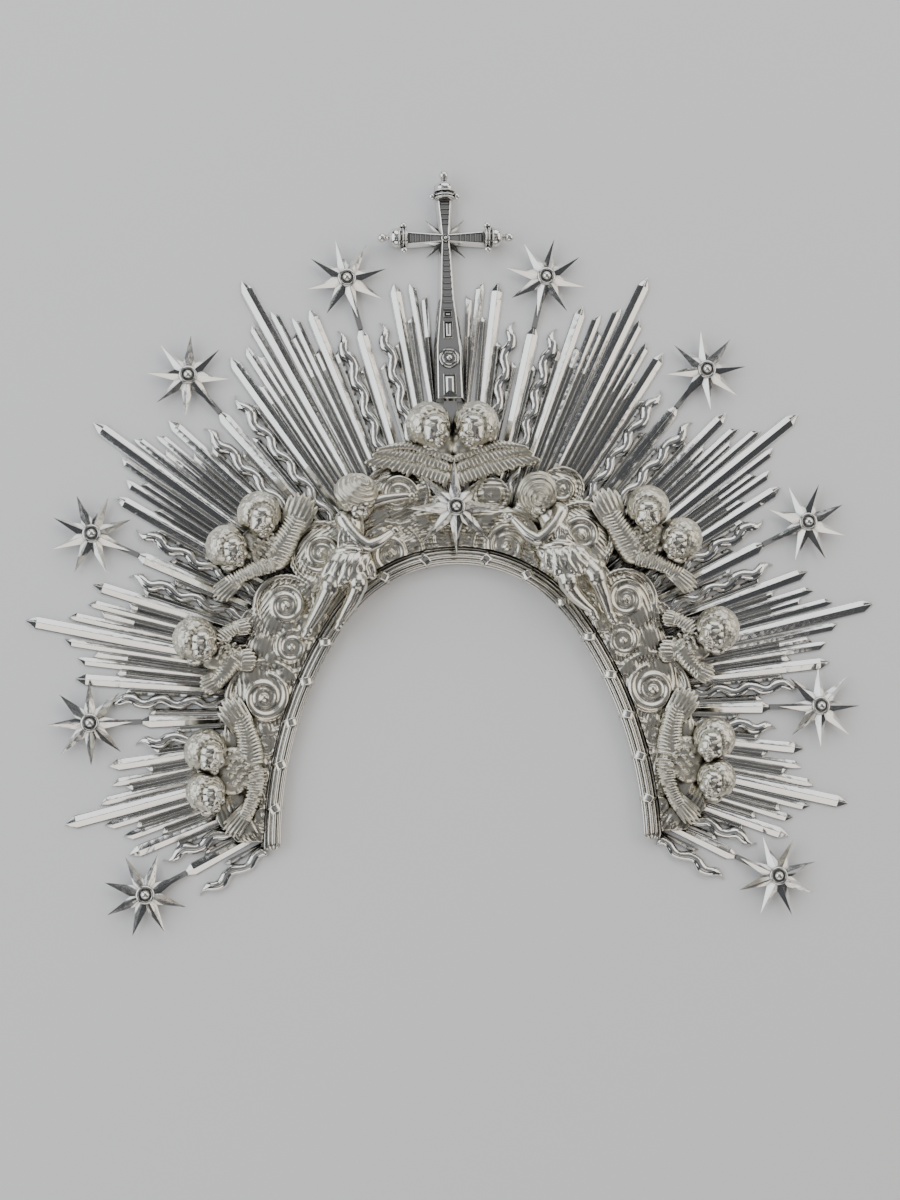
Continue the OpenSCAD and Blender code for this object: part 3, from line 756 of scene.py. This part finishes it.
def fuse(piece, voxel, smoothing):
    """Melts overlapping shapes into one skin, as raised or cast silver is one skin."""
    share_kept = 0.45
    modify(piece, "REMESH", mode="VOXEL", voxel_size=voxel)
    modify(piece, "SMOOTH", factor=0.5, iterations=smoothing)
    modify(piece, "DECIMATE", ratio=share_kept)
    bpy.ops.object.shade_smooth()
    return piece


def small_lobes(first, count):
    """Small lobes at three distances from the rim in turn, which fill the band between the others."""
    radius = 6.2
    return [(first + radius * n, 15 + 7 * (n % 3), radius) for n in range(count)]


def cloud_relief(coils, lobes):
    """The lobes, and the coils with a low cushion under each and a bead round it."""
    low = cloud_top / mm
    parts = []
    for place, out, radius in lobes:
        x, y = arch_point(place * mm, out * mm)
        parts.append(add_ball(x / mm, y / mm, low - 1.8, radius, radius, 3.6))
    for x, y, radius, hand in coils:
        parts.append(add_ball(x, y + feet, low - 1.2, 1.04 * radius, 1.04 * radius, 1.2 + 0.13 * radius))
        parts += add_coil(x, y + feet, low + 0.4, radius, hand)
        parts.append(add_ring(1.2 * radius * mm, (0.7 + 0.09 * radius) * mm, at(x, y, low - 0.6), 48, 12))
    return parts


def clear_rim(clouds, centre_x, centre_y, radius):
    """Cuts the clouds back to an even gap from the rim."""
    bpy.ops.mesh.primitive_cylinder_add(vertices=720, radius=radius + cloud_in, depth=0.1,
                                        location=(centre_x, centre_y, 0))
    disc = bpy.context.object
    modify(clouds, "BOOLEAN", object=disc, solver="EXACT")
    remove(disc)
    only(clouds)
    bpy.ops.object.shade_smooth_by_angle(angle=radians(50))


# Its darkest colour is tarnish and painted shade in the hollows and chased grooves of the clouds
chased = silver(
    "chased_silver", bright=(0.84, 0.81, 0.72, 1), dull=(0.58, 0.54, 0.45, 1), tarnish_and_shade=(0.07, 0.06, 0.035, 1),
    shut_in=0.005, smooth=0.17, rough=0.36, dent=0.00004, dent_size=0.004, chased_below=cloud_top + 0.7 * mm,
)
side_parts = [add_band(side_x, feet_y, side_r, 0.02, join_angle - 0.02)]
side_parts += cloud_relief(SIDE_COILS, SIDE_LOBES + small_lobes(82, 18))
clouds_right = join("clouds_right", side_parts)
cut_across(clouds_right, (crown_half + 20 * mm, feet_y, 0), (1, -1, 0), clear_outer=True)
clouds_right = fuse(clouds_right, cloud_voxel, 3)
clear_rim(clouds_right, side_x, feet_y, side_r)
hand_over_pair(clouds_right, chased, "cloud")
crown_lobes = cloud_relief([], CROWN_LOBES + small_lobes(3, 12))
crown_parts = [add_band(0, crown_y + feet_y, crown_r, join_angle, pi - 2 * join_angle)] + crown_lobes
crown_parts += [mirror_copy(lobe) for lobe in crown_lobes] + cloud_relief(CROWN_COILS, [])
clouds_crown = fuse(join("clouds_crown", crown_parts), cloud_voxel, 3)
clear_rim(clouds_crown, 0, crown_y + feet_y, crown_r)
hand_over(clouds_crown, chased, "cloud_crown")

# The cherubs: children's heads with crowns of curls, each cast in one with its wings and chased.
# They are riveted through the clouds, with their wings lying over them.
# The parts of the pattern head, with its face along +Z and its crown along +Y, in millimetres:
# place across, up and out, then half width, half height and half depth
head_r = 13
hair_voxel = 0.36 * mm
HEAD = [
    (0, 1.2, -3.0, 11.4, 11.8, 10.2),
    (0, -1.6, 2.8, 7.8, 9.2, 7.6),
    (0, 3.0, 4.2, 6.8, 5.0, 6.2),
    (0, -9.0, 6.0, 2.8, 2.2, 2.8),
    (0, -0.2, 9.8, 1.0, 2.9, 1.6),
    (0, -2.8, 11.0, 1.6, 1.2, 1.6),
    (0, -5.6, 9.4, 2.2, 0.6, 1.2),
    (0, -7.0, 8.8, 1.7, 0.8, 1.3),
    (0, -9.5, -4.0, 6.5, 5.0, 5.0),
]
HEAD_PAIRS = [
    (3.8, -4.6, 5.4, 3.6, 3.5, 3.9),
    (1.3, -3.2, 9.9, 1.0, 0.8, 1.2),
    (3.3, -0.1, 7.9, 1.9, 1.0, 1.5),
    (3.4, 2.3, 9.1, 2.9, 0.7, 1.3),
    (6.6, -2.0, 0.5, 1.6, 2.6, 2.2),
]
# Rows of curls: angle between the row and the middle of the face in degrees, number, radius in millimetres
CURL_ROWS = [(54, 11, 2.7), (70, 11, 3.3), (88, 12, 3.7), (106, 11, 3.9)]


def direction(tilt, turn):
    """The direction that lies at a tilt from Z, turned about Z."""
    return Vector((sin(tilt) * cos(turn), sin(tilt) * sin(turn), cos(tilt)))


def head_pattern():
    """The head in two skins: the face, which is rubbed bright, and the hair round it, which stays matt."""
    face = [add_ball(*row) for row in HEAD[1:]]
    for across, up, out, wide, high, deep in HEAD_PAIRS:
        face += [add_ball(way * across, up, out, wide, high, deep) for way in (-1, 1)]
    hair = [add_ball(*HEAD[0])]
    for row, (from_face, count, radius) in enumerate(CURL_ROWS):
        for number in range(count):
            turn = radians(-24 + 228 * (number + 0.5 * (row % 2)) / (count - 0.5))
            out = direction(radians(from_face), turn)
            spot = Vector(HEAD[0][:3]) + Vector((11.2 * out.x, 11.6 * out.y, 10.4 * out.z))
            curl = add_coil(0, 0, 0.5, radius, 1 if number % 2 else -1, 1.3)
            curl.append(add_ball(0, 0, -0.6, 0.9 * radius, 0.9 * radius, 1.6))
            lock = join("lock", curl)
            lock.rotation_euler = out.to_track_quat("Z", "Y").to_euler()
            lock.location = spot * mm
            settle(lock)
            hair.append(lock)
    skins = [coat(fuse(join("hair", hair), hair_voxel, 1), cast_silver),
             coat(fuse(join("face", face), 0.3 * mm, 3), rubbed_silver)]
    return join("pattern_head", skins)


def feather_pattern():
    """A short feather along +X, 10 mm long and 3 mm wide, with a rib down its middle and a round tip."""
    feather = add_block("pattern_feather", (0, -1.5 * mm, -0.5 * mm), (10 * mm, 1.5 * mm, 0))
    for place in (1.2, 4, 7, 9):
        cut_across(feather, (place * mm, 0, 0), (1, 0, 0))
    cut_across(feather, (0, 0, 0), (0, 1, 0))
    for place, width, lift in ((0, 0.6, 0), (4, 1, 0.7), (7, 1, 0.8), (9, 0.8, 0.6), (10, 0.35, 0.2)):
        select_points(feather, lambda p: abs(p.x - place * mm) < 1e-5)
        bpy.ops.transform.resize(value=(1, width, 1), center_override=(0, 0, 0))
        bpy.ops.transform.translate(value=(0, 0, lift * mm))
    select_points(feather, lambda p: abs(p.y) < 1e-5 and p.z > -0.3 * mm and p.x > mm)
    bpy.ops.transform.translate(value=(0, 0, 0.5 * mm))
    bpy.ops.object.mode_set(mode="OBJECT")
    return feather


# In the cast and rubbed silver the darkest colour is tarnish and painted shade between feathers, curls and
# features
cast_silver = silver(
    "cast_silver", bright=(0.82, 0.79, 0.70, 1), dull=(0.54, 0.51, 0.42, 1), tarnish_and_shade=(0.06, 0.05, 0.03, 1),
    shut_in=0.005, smooth=0.22, rough=0.46, dent=0.00003, dent_size=0.003,
)
rubbed_silver = silver(
    "rubbed_silver", bright=(0.82, 0.80, 0.73, 1), dull=(0.58, 0.55, 0.48, 1),
    tarnish_and_shade=(0.05, 0.045, 0.035, 1), shut_in=0.004, smooth=0.16, rough=0.34, dent=0.00002, dent_size=0.003,
)
the_head = head_pattern()
the_feather = feather_pattern()


def place_head(x, y, radius, turn, nod, lean, high=15):
    """Copies the head to its place and cuts it off flat behind."""
    head = copy_of(the_head)
    head.scale = [radius / head_r] * 3
    head.rotation_euler = (radians(nod), radians(-turn), radians(lean))
    head.location = at(x, y, high)
    settle(head)
    cut_across(head, (0, 0, 4 * mm), (0, 0, 1), clear_inner=True)
    return head


def lay_feather(x, y, low, turn, length, width, tilt, roll=0):
    """Copies the feather with its root at a place, pointing along turn with its tip raised by tilt."""
    feather = copy_of(the_feather)
    feather.scale = (length / 10, width / 3, 1.3)
    feather.rotation_euler = (radians(roll), radians(-tilt), turn)
    feather.location = at(x, y, low)
    settle(feather)
    return feather


def place_wing(root_x, root_y, tip_x, tip_y, half, bend, rows, columns):
    """Short feathers in slanted ribs from the tip of a bent wing back to its root, over a few long ones."""
    root = Vector((root_x, root_y))
    along = Vector((tip_x, tip_y)) - root
    side = Vector((-along.y, along.x)).normalized()

    def spine(share):
        return root + along * share + side * (4 * bend * along.length * share * (1 - share))

    def half_at(share):
        return half * (0.88 + 0.12 * cos(pi * min(1, max(0, 2 * share)))) * min(1, 3.2 * (1.18 - share))

    # The flesh of the wing, under its feathers
    feathers = []
    for share in (0.04, 0.16, 0.28, 0.4, 0.52, 0.64, 0.76):
        spot = spine(share)
        wide = 0.95 * half_at(share)
        feathers.append(add_ball(spot.x, spot.y + feet, wing_low - 0.5, wide, wide, 4.4 - 2.2 * share))
    # Long quills that reach past the ribs to the tip, side by side
    way = spine(1) - spine(0.7)
    for number in range(6):
        across = number / 2.5 - 1
        turn = atan2(way.y, way.x) + radians(7 * across)
        end = spine(0.5) + Vector((-way.y, way.x)).normalized() * (0.62 * half * across)
        length = 0.52 * along.length * (1 - 0.2 * across ** 2)
        feathers.append(lay_feather(end.x, end.y, wing_low + 1.6 - across ** 2, turn, length, 0.36 * half, 1))
    # Ribs of short feathers from behind the quills back to the root
    for row in range(rows):
        share = 0.66 - 0.68 * row / (rows - 1)
        wide = half_at(share)
        way = spine(share + 0.05) - spine(share - 0.05)
        out = Vector((-way.y, way.x)).normalized()
        for number in range(columns):
            across = (2 * number + 1) / columns - 1
            spot = spine(share) + out * (0.86 * wide * across)
            slant = (34 * across if columns > 1 else 8) + random.uniform(-5, 5)
            rib = add_ball(0, 0, 0, 0.3 * along.length / rows + 0.25, 1.04 * wide / columns, 1.5)
            rib.rotation_euler = (radians(-24 * across), 0, atan2(way.y, way.x) - radians(slant))
            rib.location = at(spot.x, spot.y, wing_low + 2.7 - 1.5 * share - 0.9 * abs(across))
            settle(rib)
            feathers.append(rib)
    return feathers


def place_swan_wing(root_x, root_y, tip_x, tip_y, half, bend):
    """A wing seen along its length: bands of feathers that hang across it, the long ones lowest."""
    root = Vector((root_x, root_y))
    along = Vector((tip_x, tip_y)) - root
    side = Vector((-along.y, along.x)).normalized()

    def half_at(share):
        return half * (1 - 0.45 * max(0, share - 0.55) ** 2 / 0.2)

    def spot_at(share, out):
        return root + along * share + side * (4 * bend * along.length * share * (1 - share) + out)

    feathers = []
    # Bands: place across as a share of the half width, length and width of a feather, height
    bands = ((-0.15, 9.5, 2.9, 9.8), (0.38, 6.5, 2.7, 11.0), (0.85, 5, 2.5, 12.2))
    for band, (across, length, width, low) in enumerate(bands):
        count = round(along.length / (0.85 * width))
        for number in range(count + 1):
            share = (number + 0.5 * (band % 2)) / count
            spot = spot_at(share, half_at(share) * across)
            turn = atan2(along.y, along.x) + radians(-78 + 50 * share ** 2)
            feathers.append(lay_feather(spot.x, spot.y, low - 1.6 * share, turn,
                                        length * (1 + 0.25 * share) * random.uniform(0.88, 1.12),
                                        1.2 * width, -2, 30))
    # The flesh of the wing, under them
    for share in (0, 0.12, 0.24, 0.36, 0.48, 0.6, 0.72, 0.84, 0.95):
        wide = 0.85 * half_at(share)
        spot = spot_at(share, 0.12 * half)
        feathers.append(add_ball(spot.x, spot.y + feet, wing_low - 0.6, wide, wide, 2.4 - 0.8 * share))
    return feathers


random.seed(7)
wing_low = 8.6
wing_voxel = 0.34 * mm
# Heads: place across and above the feet, radius, turn of the face sideways and downwards, lean of the crown
# Wings: root, tip, half width, bend, rows and columns of ribs. Breast between them: place and half sizes
CHERUBS = {
    "cherub_pair_upper": (
        [(114.2, 193, 13.2, 10, 20, -4), (132.2, 174.5, 12.8, 24, 20, -26)],
        [(107, 170, 86, 206, 10, 0.03, 15, 2), (109, 166, 142, 147, 5.8, 0.07, 17, 1)],
        (115, 177, 12, 11),
    ),
    "cherub_single": (
        [(151.5, 120.5, 13.6, 26, 20, -20)],
        [(139, 116, 118, 109, 7.5, 0.12, 11, 2), (139, 122, 121, 131, 5.4, -0.1, 9, 1),
         (133, 110, 150, 93, 6.5, -0.12, 9, 2)],
        (141, 114, 10, 10),
    ),
    "cherub_pair_lower": (
        [(147.2, 55.6, 13, 20, 18, -14), (147.2, 32.6, 12, 26, 16, -20)],
        [(123, 51, 136, 88, 8.6, 0.1, 15, 2), (119, 45, 136, 8, 5.8, -0.1, 19, 1)],
        (133, 46, 13, 14),
    ),
}
for node, (heads, wings, breast) in CHERUBS.items():
    x, y, half_x, half_y = breast
    feathered = [add_ball(x, y + feet, wing_low, half_x, half_y, 4.2)]
    downwards = Vector((wings[0][0] - x, wings[0][1] - y)).normalized()
    sideways = Vector((-downwards.y, downwards.x))
    turn = atan2(downwards.y, downwards.x)
    for row in range(-2, 3):
        for number in range(-2, 3):
            spot = Vector((x, y)) + downwards * (0.36 * half_x * row)
            spot += sideways * (0.36 * half_y * (number + 0.4 * (row % 2)))
            high = wing_low + 3.6 - 0.45 * (row ** 2 + number ** 2)
            feathered.append(lay_feather(spot.x, spot.y, high, turn, 5.5, 2.3, 12))
    for row in wings:
        feathered += place_wing(*row)
    parts = [coat(fuse(join("wings", feathered), wing_voxel, 1), cast_silver)]
    parts += [place_head(*row) for row in heads]
    hand_over_pair(join(node + "_cast_right", parts), None, node)

wing = coat(fuse(join("wing", place_swan_wing(2, 220, 40, 229, 9.8, 0.07)), wing_voxel, 1), cast_silver)
breast = coat(fuse(add_ball(6, 235 + feet, wing_low, 9, 9, 6), 0.5 * mm, 1), cast_silver)
top_parts = [place_head(12.6, 244.4, 14.2, 16, 14, -14), wing, breast]
top_right = join("top_right", top_parts)
top_cherubs = join("cherub_pair_top_cast", [top_right, mirror_copy(top_right)])
hand_over(top_cherubs, None, "cherub_pair_top")

# The putti: two small angels kneeling on the clouds on either side of the star, in short tunics.
# Each is cast, chased and burnished, with combed hair, and bows its head towards the star.
# Places are in millimetres: across, above the feet of the arch and above the table, then radius
PUTTI = {
    "left": {
        "head": (-57.5, 199.5, 11, -30, 40, 12),
        "hair": (-58.5, 205.8, 18.2, 12, 10.6, 10.5),
        "swirl": (0.35, 0.55, 0.8),
        "limbs": [
            [(-60, 196, 13, 5), (-61, 188, 13.5, 7.6), (-61.5, 180, 14, 7.6), (-62.5, 171, 14.5, 8),
             (-64, 164, 14, 8)],
            [(-64, 192, 15, 5), (-66.5, 190.5, 17, 5), (-63, 184, 19, 4.4), (-58, 178, 20, 4),
             (-52.5, 174, 20, 4.1), (-46, 176.5, 19, 3.6), (-39, 181.5, 17, 2.6)],
            [(-56, 194, 14, 4.6), (-50, 200, 15, 3.9), (-43, 202, 15, 3.4), (-35, 203.3, 15, 2.8),
             (-28, 204, 14.5, 2.2)],
            [(-66, 166, 14, 6.5), (-71, 158, 17, 6.3), (-75, 151.5, 19, 6)],
            [(-76, 148, 18.5, 5), (-79, 142, 16.5, 4.6), (-83, 135, 15, 3.7), (-87, 128.5, 14, 2.7)],
            [(-62, 166, 14, 6.5), (-60, 159, 17, 6.2), (-58.5, 152.5, 19.5, 5.8)],
            [(-59.5, 148, 18.5, 4.8), (-62, 142.5, 16.5, 4.5), (-65.5, 137, 15.3, 3.6),
             (-68, 132.5, 14.3, 2.7)],
        ],
        "knees": [(-75, 150.5, 18.6, 5.9), (-58.5, 151.5, 18.8, 5.7)],
        "hands": [(-36, 183.6, 16.2), (-25.5, 204.2, 14)],
        "feet": [(-88, 126, 14, -4), (-69, 130.5, 14, -4)],
        "shoulder": (-65, 189),
        "waist": (-62, 172.5, 10),
        "hem": [(-79, 158), (-76, 155), (-69, 152.5), (-63, 155), (-58, 156), (-50, 157)],
    },
    "right": {
        "head": (48.5, 200.5, 11, 24, 46, -12),
        "hair": (47.8, 205.3, 18.2, 10.8, 11.2, 10.5),
        "swirl": (0.1, -0.5, 0.85),
        "limbs": [
            [(52, 195, 13, 5), (57, 188, 13.5, 7.6), (60.5, 180, 14, 7.6), (63, 172, 14.5, 8),
             (65, 165, 14, 8)],
            [(60, 194, 15, 5), (62.3, 192.5, 17, 5), (58, 185.5, 19, 4.4), (52.5, 179.5, 20, 4),
             (47.5, 175.8, 20, 4.1), (41, 180, 19, 3.6), (34.5, 188, 17, 2.6)],
            [(61, 167, 14, 6.5), (62.5, 159, 17, 6.2), (64.5, 151.5, 19.3, 6)],
            [(66, 147, 18.5, 4.8), (69.5, 142.5, 16.8, 4.5), (74.5, 138, 15.3, 3.6), (78.5, 135, 14.3, 2.7)],
            [(69, 168, 14, 6.5), (76, 161, 17, 6.3), (81, 155, 19, 6.1)],
            [(82.5, 150, 18.5, 5), (85, 144, 16.8, 4.6), (87, 138, 15.3, 3.6), (88.5, 133.5, 14.3, 2.7)],
        ],
        "knees": [(64.9, 150.3, 18.6, 5.9), (81.4, 153.6, 18.6, 6.2)],
        "hands": [(31.8, 190.6, 16.2)],
        "feet": [(79.5, 132.8, 14, 4), (90, 130.8, 14, 4)],
        "shoulder": (60, 190),
        "waist": (60, 173.5, 10.5),
        "hem": [(51, 161), (58, 155.5), (64, 156), (71, 156), (77, 161), (85, 161)],
    },
}


def add_swirl(x, y, z, half_x, half_y, half_z, pole):
    """Combed locks that wind round an oval head of hair from its crown."""
    around = Vector(pole).normalized().to_track_quat("Z", "Y")
    steps = 110
    turns = 5.2
    line = []
    widths = []
    for step in range(steps + 1):
        share = step / steps
        down = radians(10 + 92 * share)
        turn = 2 * pi * turns * share ** 0.9
        point = around @ direction(down, turn)
        line.append(at(x + half_x * point.x, y + half_y * point.y, z + half_z * point.z))
        widths.append((1.15 + 0.25 * sin(9 * turn)) * mm)
    return [add_tube(line, widths), add_ball(x, y + feet, z, half_x, half_y, half_z)]


def add_fold(start, end, bow, radius, swing):
    """One fold of cloth between two places, bowed out and swinging a little from side to side."""
    line = []
    widths = []
    for step in range(9):
        share = step / 8
        x, y, z = (a + (b - a) * share for a, b in zip(start, end))
        across = swing * sin(2.2 * pi * share)
        line.append(at(x + across, y, z + bow * sin(pi * share)))
        swell = 0.75 + 0.35 * sin(pi * (0.15 + 0.75 * share)) + 0.12 * sin(7 * share)
        widths.append(radius * swell * mm)
    end_ball = add_ball(end[0], end[1] + feet, end[2], radius, radius, radius)
    return [add_tube(line, widths), end_ball]


def add_drape(shoulder, waist, hem):
    """A short tunic: a slanting sash over the body, a rolled girdle and puffed folds down to the hem."""
    waist_x, waist_y, half = waist
    parts = []
    # The sash, then the girdle
    for number in range(5):
        share = number / 4
        start = (shoulder[0] + (waist_x - shoulder[0]) * 0.2 + 4 * (share - 0.5), shoulder[1] - 5 * share, 18)
        end = (waist_x + half * (1.5 * share - 0.7), waist_y + 2, 19.5)
        parts += add_fold(start, end, 2.6, 1.5, 0.6)
    parts += add_fold((waist_x - half, waist_y - 1, 16.5), (waist_x + half, waist_y - 0.5, 16.5), 5.5, 2.1, 0)
    # One fold down to each place of the hem and one between each two, then the body under them
    folds = 2 * len(hem) - 1
    for number in range(folds):
        share = number / (folds - 1)
        low = hem[number // 2]
        if number % 2:
            low = [(a + b) / 2 for a, b in zip(hem[number // 2], hem[number // 2 + 1])]
        edge = abs(2 * share - 1)
        start = (waist_x + 0.92 * half * (2 * share - 1), waist_y - 2, 18.5 - 3 * edge ** 2)
        end = (low[0], low[1] + 1.2 * (number % 2), 22 - 5 * edge ** 2)
        parts += add_fold(start, end, 2.2, 2.6 + 0.5 * (number % 2), 0.9 if number % 2 else -0.9)
    middle_x = (hem[0][0] + hem[-1][0]) / 2
    parts.append(add_ball(middle_x, (waist_y + hem[2][1]) / 2 + feet, 15.5, 1.25 * half, 10, 6))
    return parts


for side, shape in PUTTI.items():
    parts = []
    # The body, the arms and the legs, with places added half-way so that the tubes bend softly
    for limb in shape["limbs"]:
        middles = [[(a + b) / 2 for a, b in zip(*pair)] for pair in zip(limb, limb[1:])]
        rows = [row for pair in zip(limb, middles) for row in pair] + [limb[-1]]
        line = [at(x, y, z) for x, y, z, radius in rows]
        parts.append(add_tube(line, [row[3] * mm for row in rows], 8))
        for x, y, z, radius in (limb[0], limb[-1]):
            parts.append(add_ball(x, y + feet, z, radius, radius, radius))
    for x, y, z in shape["hands"]:
        parts.append(add_ball(x, y + feet, z, 2.6, 2.4, 1.9))
        for finger in (-1, 0, 1):
            reach = Vector((1 if side == "left" else -1, 0.35 * finger, -0.25))
            line = [at(x + reach.x * step, y + finger + reach.y * step, z + reach.z * step)
                    for step in range(5)]
            parts.append(add_tube(line, [0.8 * mm] * 5))
    for x, y, z, way in shape["feet"]:
        parts.append(add_ball(x, y + feet, z, 3.0, 3.6, 2.6))
        parts.append(add_ball(x + 0.4 * way, y - 3 + feet, z - 0.4, 2.4, 2.4, 2.0))
    for x, y, z, radius in shape["knees"]:
        parts.append(add_ball(x, y + feet, z, radius, 1.1 * radius, radius))
    parts += add_drape(shape["shoulder"], shape["waist"], shape["hem"])
    figure = coat(fuse(join("figure", parts), 0.42 * mm, 5), rubbed_silver)
    locks = join("combed_hair", add_swirl(*shape["hair"], shape["swirl"]))
    hair = coat(fuse(locks, hair_voxel, 1), cast_silver)
    putto = join("angel_" + side, [figure, hair, place_head(*shape["head"], high=17)])
    hand_over(putto, None, "putto_" + side)
remove(the_head, the_feather)

# The cross: cast in one with its bevelled stem, its sunk panels and the turned ends of its arms.
# It is silver like the rays, filed and polished, and a tongue below it is riveted behind the clouds.
# Heights are above the feet of the arch, in millimetres
cross_y = 361
boss_y = 288
arm_end_at = 24
rung_top = 5.9
# The stem down from the crossing: half width, height
STEM = [(4.4, 350), (5.4, 325), (6.8, 313), (8.6, 295), (9.0, 262)]
# Rungs of the ladder down the stem: height
RUNGS = [354.2, 351, 347.8, 344.4, 341, 337.4, 333.8, 330, 326, 322, 317.8]
# Sunk panels: half width, low end, high end
PANELS = [(2.6, 312.6, 316.6), (2.9, 299.8, 310.6), (3.9, 265.5, 278.5)]


def add_point(x, y, z, reach, half, angle):
    """A four-sided spike from a place outwards in the plane of the cross."""
    bpy.ops.mesh.primitive_cone_add(vertices=4, radius1=half * mm, depth=reach * mm,
                                    location=(0, 0, 0.5 * reach * mm))
    spike = bpy.context.object
    settle(spike)
    spike.rotation_euler = (0, radians(90), radians(angle))
    spike.location = at(x, y, z)
    settle(spike)
    return spike


def add_rung(x, y, half_x, half_y, top):
    """A low bar across a sunk channel."""
    return add_block("rung", at(x - half_x, y - half_y, 3), at(x + half_x, y + half_y, top))


def cross_body():
    """The outline drawn out edge by edge from the crossing, then raised, bevelled and sunk in the middle."""
    half = 3.9
    arm_end_half = 5.5
    bpy.ops.mesh.primitive_plane_add(size=2 * half * mm, location=(0, 0, 0))
    body = bpy.context.object
    bpy.ops.object.mode_set(mode="EDIT")
    bpy.ops.mesh.select_mode(type="VERT")
    reach = (arm_end_at + 0.6 - half) * mm
    wider = arm_end_half / half
    for way in ((1, 0), (-1, 0), (0, 1)):
        select_points(body, lambda p: p.x * way[0] + p.y * way[1] > 0.9 * half * mm and
                      abs(p.x * way[1]) + abs(p.y * way[0]) < 1.1 * half * mm)
        bpy.ops.mesh.extrude_region_move(TRANSFORM_OT_translate={"value": (way[0] * reach, way[1] * reach, 0)})
        bpy.ops.transform.resize(value=(wider if way[1] else 1, wider if way[0] else 1, 1),
                                 center_override=(0, 0, 0))
    low = -half
    wide = half
    for next_wide, next_y in STEM:
        select_points(body, lambda p: abs(p.y / mm - low) < 0.1 and abs(p.x) < 12 * mm)
        step = (next_y - cross_y - low) * mm
        bpy.ops.mesh.extrude_region_move(TRANSFORM_OT_translate={"value": (0, step, 0)})
        bpy.ops.transform.resize(value=(next_wide / wide, 1, 1), center_override=(0, 0, 0))
        low = next_y - cross_y
        wide = next_wide
    bpy.ops.mesh.select_all(action="SELECT")
    bpy.ops.mesh.extrude_region_move(TRANSFORM_OT_translate={"value": (0, 0, 2.4 * mm)})
    bpy.ops.mesh.select_mode(type="FACE")
    # The edge, the bevel, the raised rim and the sunk middle
    for inwards, upwards in ((0.15, 0.5), (1.5, 2.9), (0.45, 0.2), (0.35, -1.0)):
        bpy.ops.mesh.inset(thickness=inwards * mm, depth=upwards * mm, use_boundary=True, use_even_offset=True)
    bpy.ops.mesh.select_mode(type="VERT")
    bpy.ops.object.mode_set(mode="OBJECT")
    face_outwards(body)
    body.location = at(0, cross_y, 0)
    settle(body)
    return body


def arm_end_pattern():
    """A turned end along +Y from the collar: ring, neck, knob and ball, with a bead on each side."""
    profile = [(-0.8, 5.4), (1.8, 5.5), (2.2, 4.4), (3.4, 4.3), (4.0, 5.9), (6.2, 6.3), (8.4, 5.4), (9.9, 3.4),
               (10.8, 1.7), (11.8, 1.6)]
    axis_z = 6.4
    line = [(0, along * mm, axis_z * mm) for along, _ in profile]
    parts = [add_tube(line, [radius * mm for _, radius in profile])]
    for along, radius in ((0.1, 5.6), (1.7, 5.5), (4.1, 5.8)):
        parts.append(add_ring(radius * mm, 0.55 * mm, (0, along * mm, axis_z * mm), turn=(radians(90), 0, 0)))
    parts.append(add_ball(0, 14.1, axis_z, 2.9, 2.9, 2.9))
    parts += [add_ball(side * 7.4, 1.1, axis_z, 2.2, 2.2, 2.2) for side in (-1, 1)]
    end = join("pattern_end", parts)
    only(end)
    bpy.ops.object.shade_smooth_by_angle(angle=radians(50))
    return end


the_end = arm_end_pattern()
cross_parts = [cross_body()]
for angle in (0, 90, -90):
    turn = radians(angle)
    end = copy_of(the_end)
    end.rotation_euler = (0, 0, turn)
    end.location = at(-arm_end_at * sin(turn), cross_y + arm_end_at * cos(turn), 0)
    settle(end)
    cross_parts.append(end)
for angle in (45, 135, 225, 315):
    turn = radians(angle)
    cross_parts.append(add_point(3 * cos(turn), cross_y + 3 * sin(turn), 2.6, 14, 2.0, angle))
for height in RUNGS:
    share = 1 - (height - 317) / 40
    cross_parts.append(add_rung(0, height, 1.3 + 1.2 * share, 0.42, rung_top))
for out in (9, 12, 15, 18, 21):
    cross_parts.append(add_rung(0, cross_y + out, 2.4, 0.4, rung_top))
    cross_parts += [add_rung(side * out, cross_y, 0.4, 2.4, rung_top) for side in (-1, 1)]
for half, low, high in PANELS:
    panel = add_rung(0, (low + high) / 2, half, (high - low) / 2, 5.3)
    cross_parts.append(panel)
    select_faces(panel, Vector((0, 0, 1)))
    for inwards, upwards in ((0.35, 0.9), (0.3, 0), (0.35, -1.0)):
        bpy.ops.mesh.inset(thickness=inwards * mm, depth=upwards * mm, use_even_offset=True)
    bpy.ops.mesh.inset(thickness=0.42 * half * mm, depth=0.9 * mm, use_even_offset=True)
    bpy.ops.mesh.select_mode(type="VERT")
    bpy.ops.object.mode_set(mode="OBJECT")
# The ringed boss on the stem and the small one on the crossing
for height, ring, bead in ((boss_y, 5.4, 2.1), (boss_y, 3.6, 0), (cross_y, 2.0, 1.3)):
    cross_parts.append(add_ring(ring * mm, 0.6 * mm, at(0, height, 6.1)))
    if bead:
        cross_parts.append(add_ball(0, height + feet, 6.0, bead, bead, bead))
bpy.ops.mesh.primitive_cylinder_add(vertices=40, radius=5.6 * mm, depth=3 * mm, location=at(0, boss_y, 4.4))
settle(bpy.context.object)
cross_parts.append(bpy.context.object)
cross_parts.append(add_block("tongue", at(-4, 212, 0), at(4, 264, 3.4)))
hand_over(join("cross_cast", cross_parts), polished, "cross")
remove(the_end)
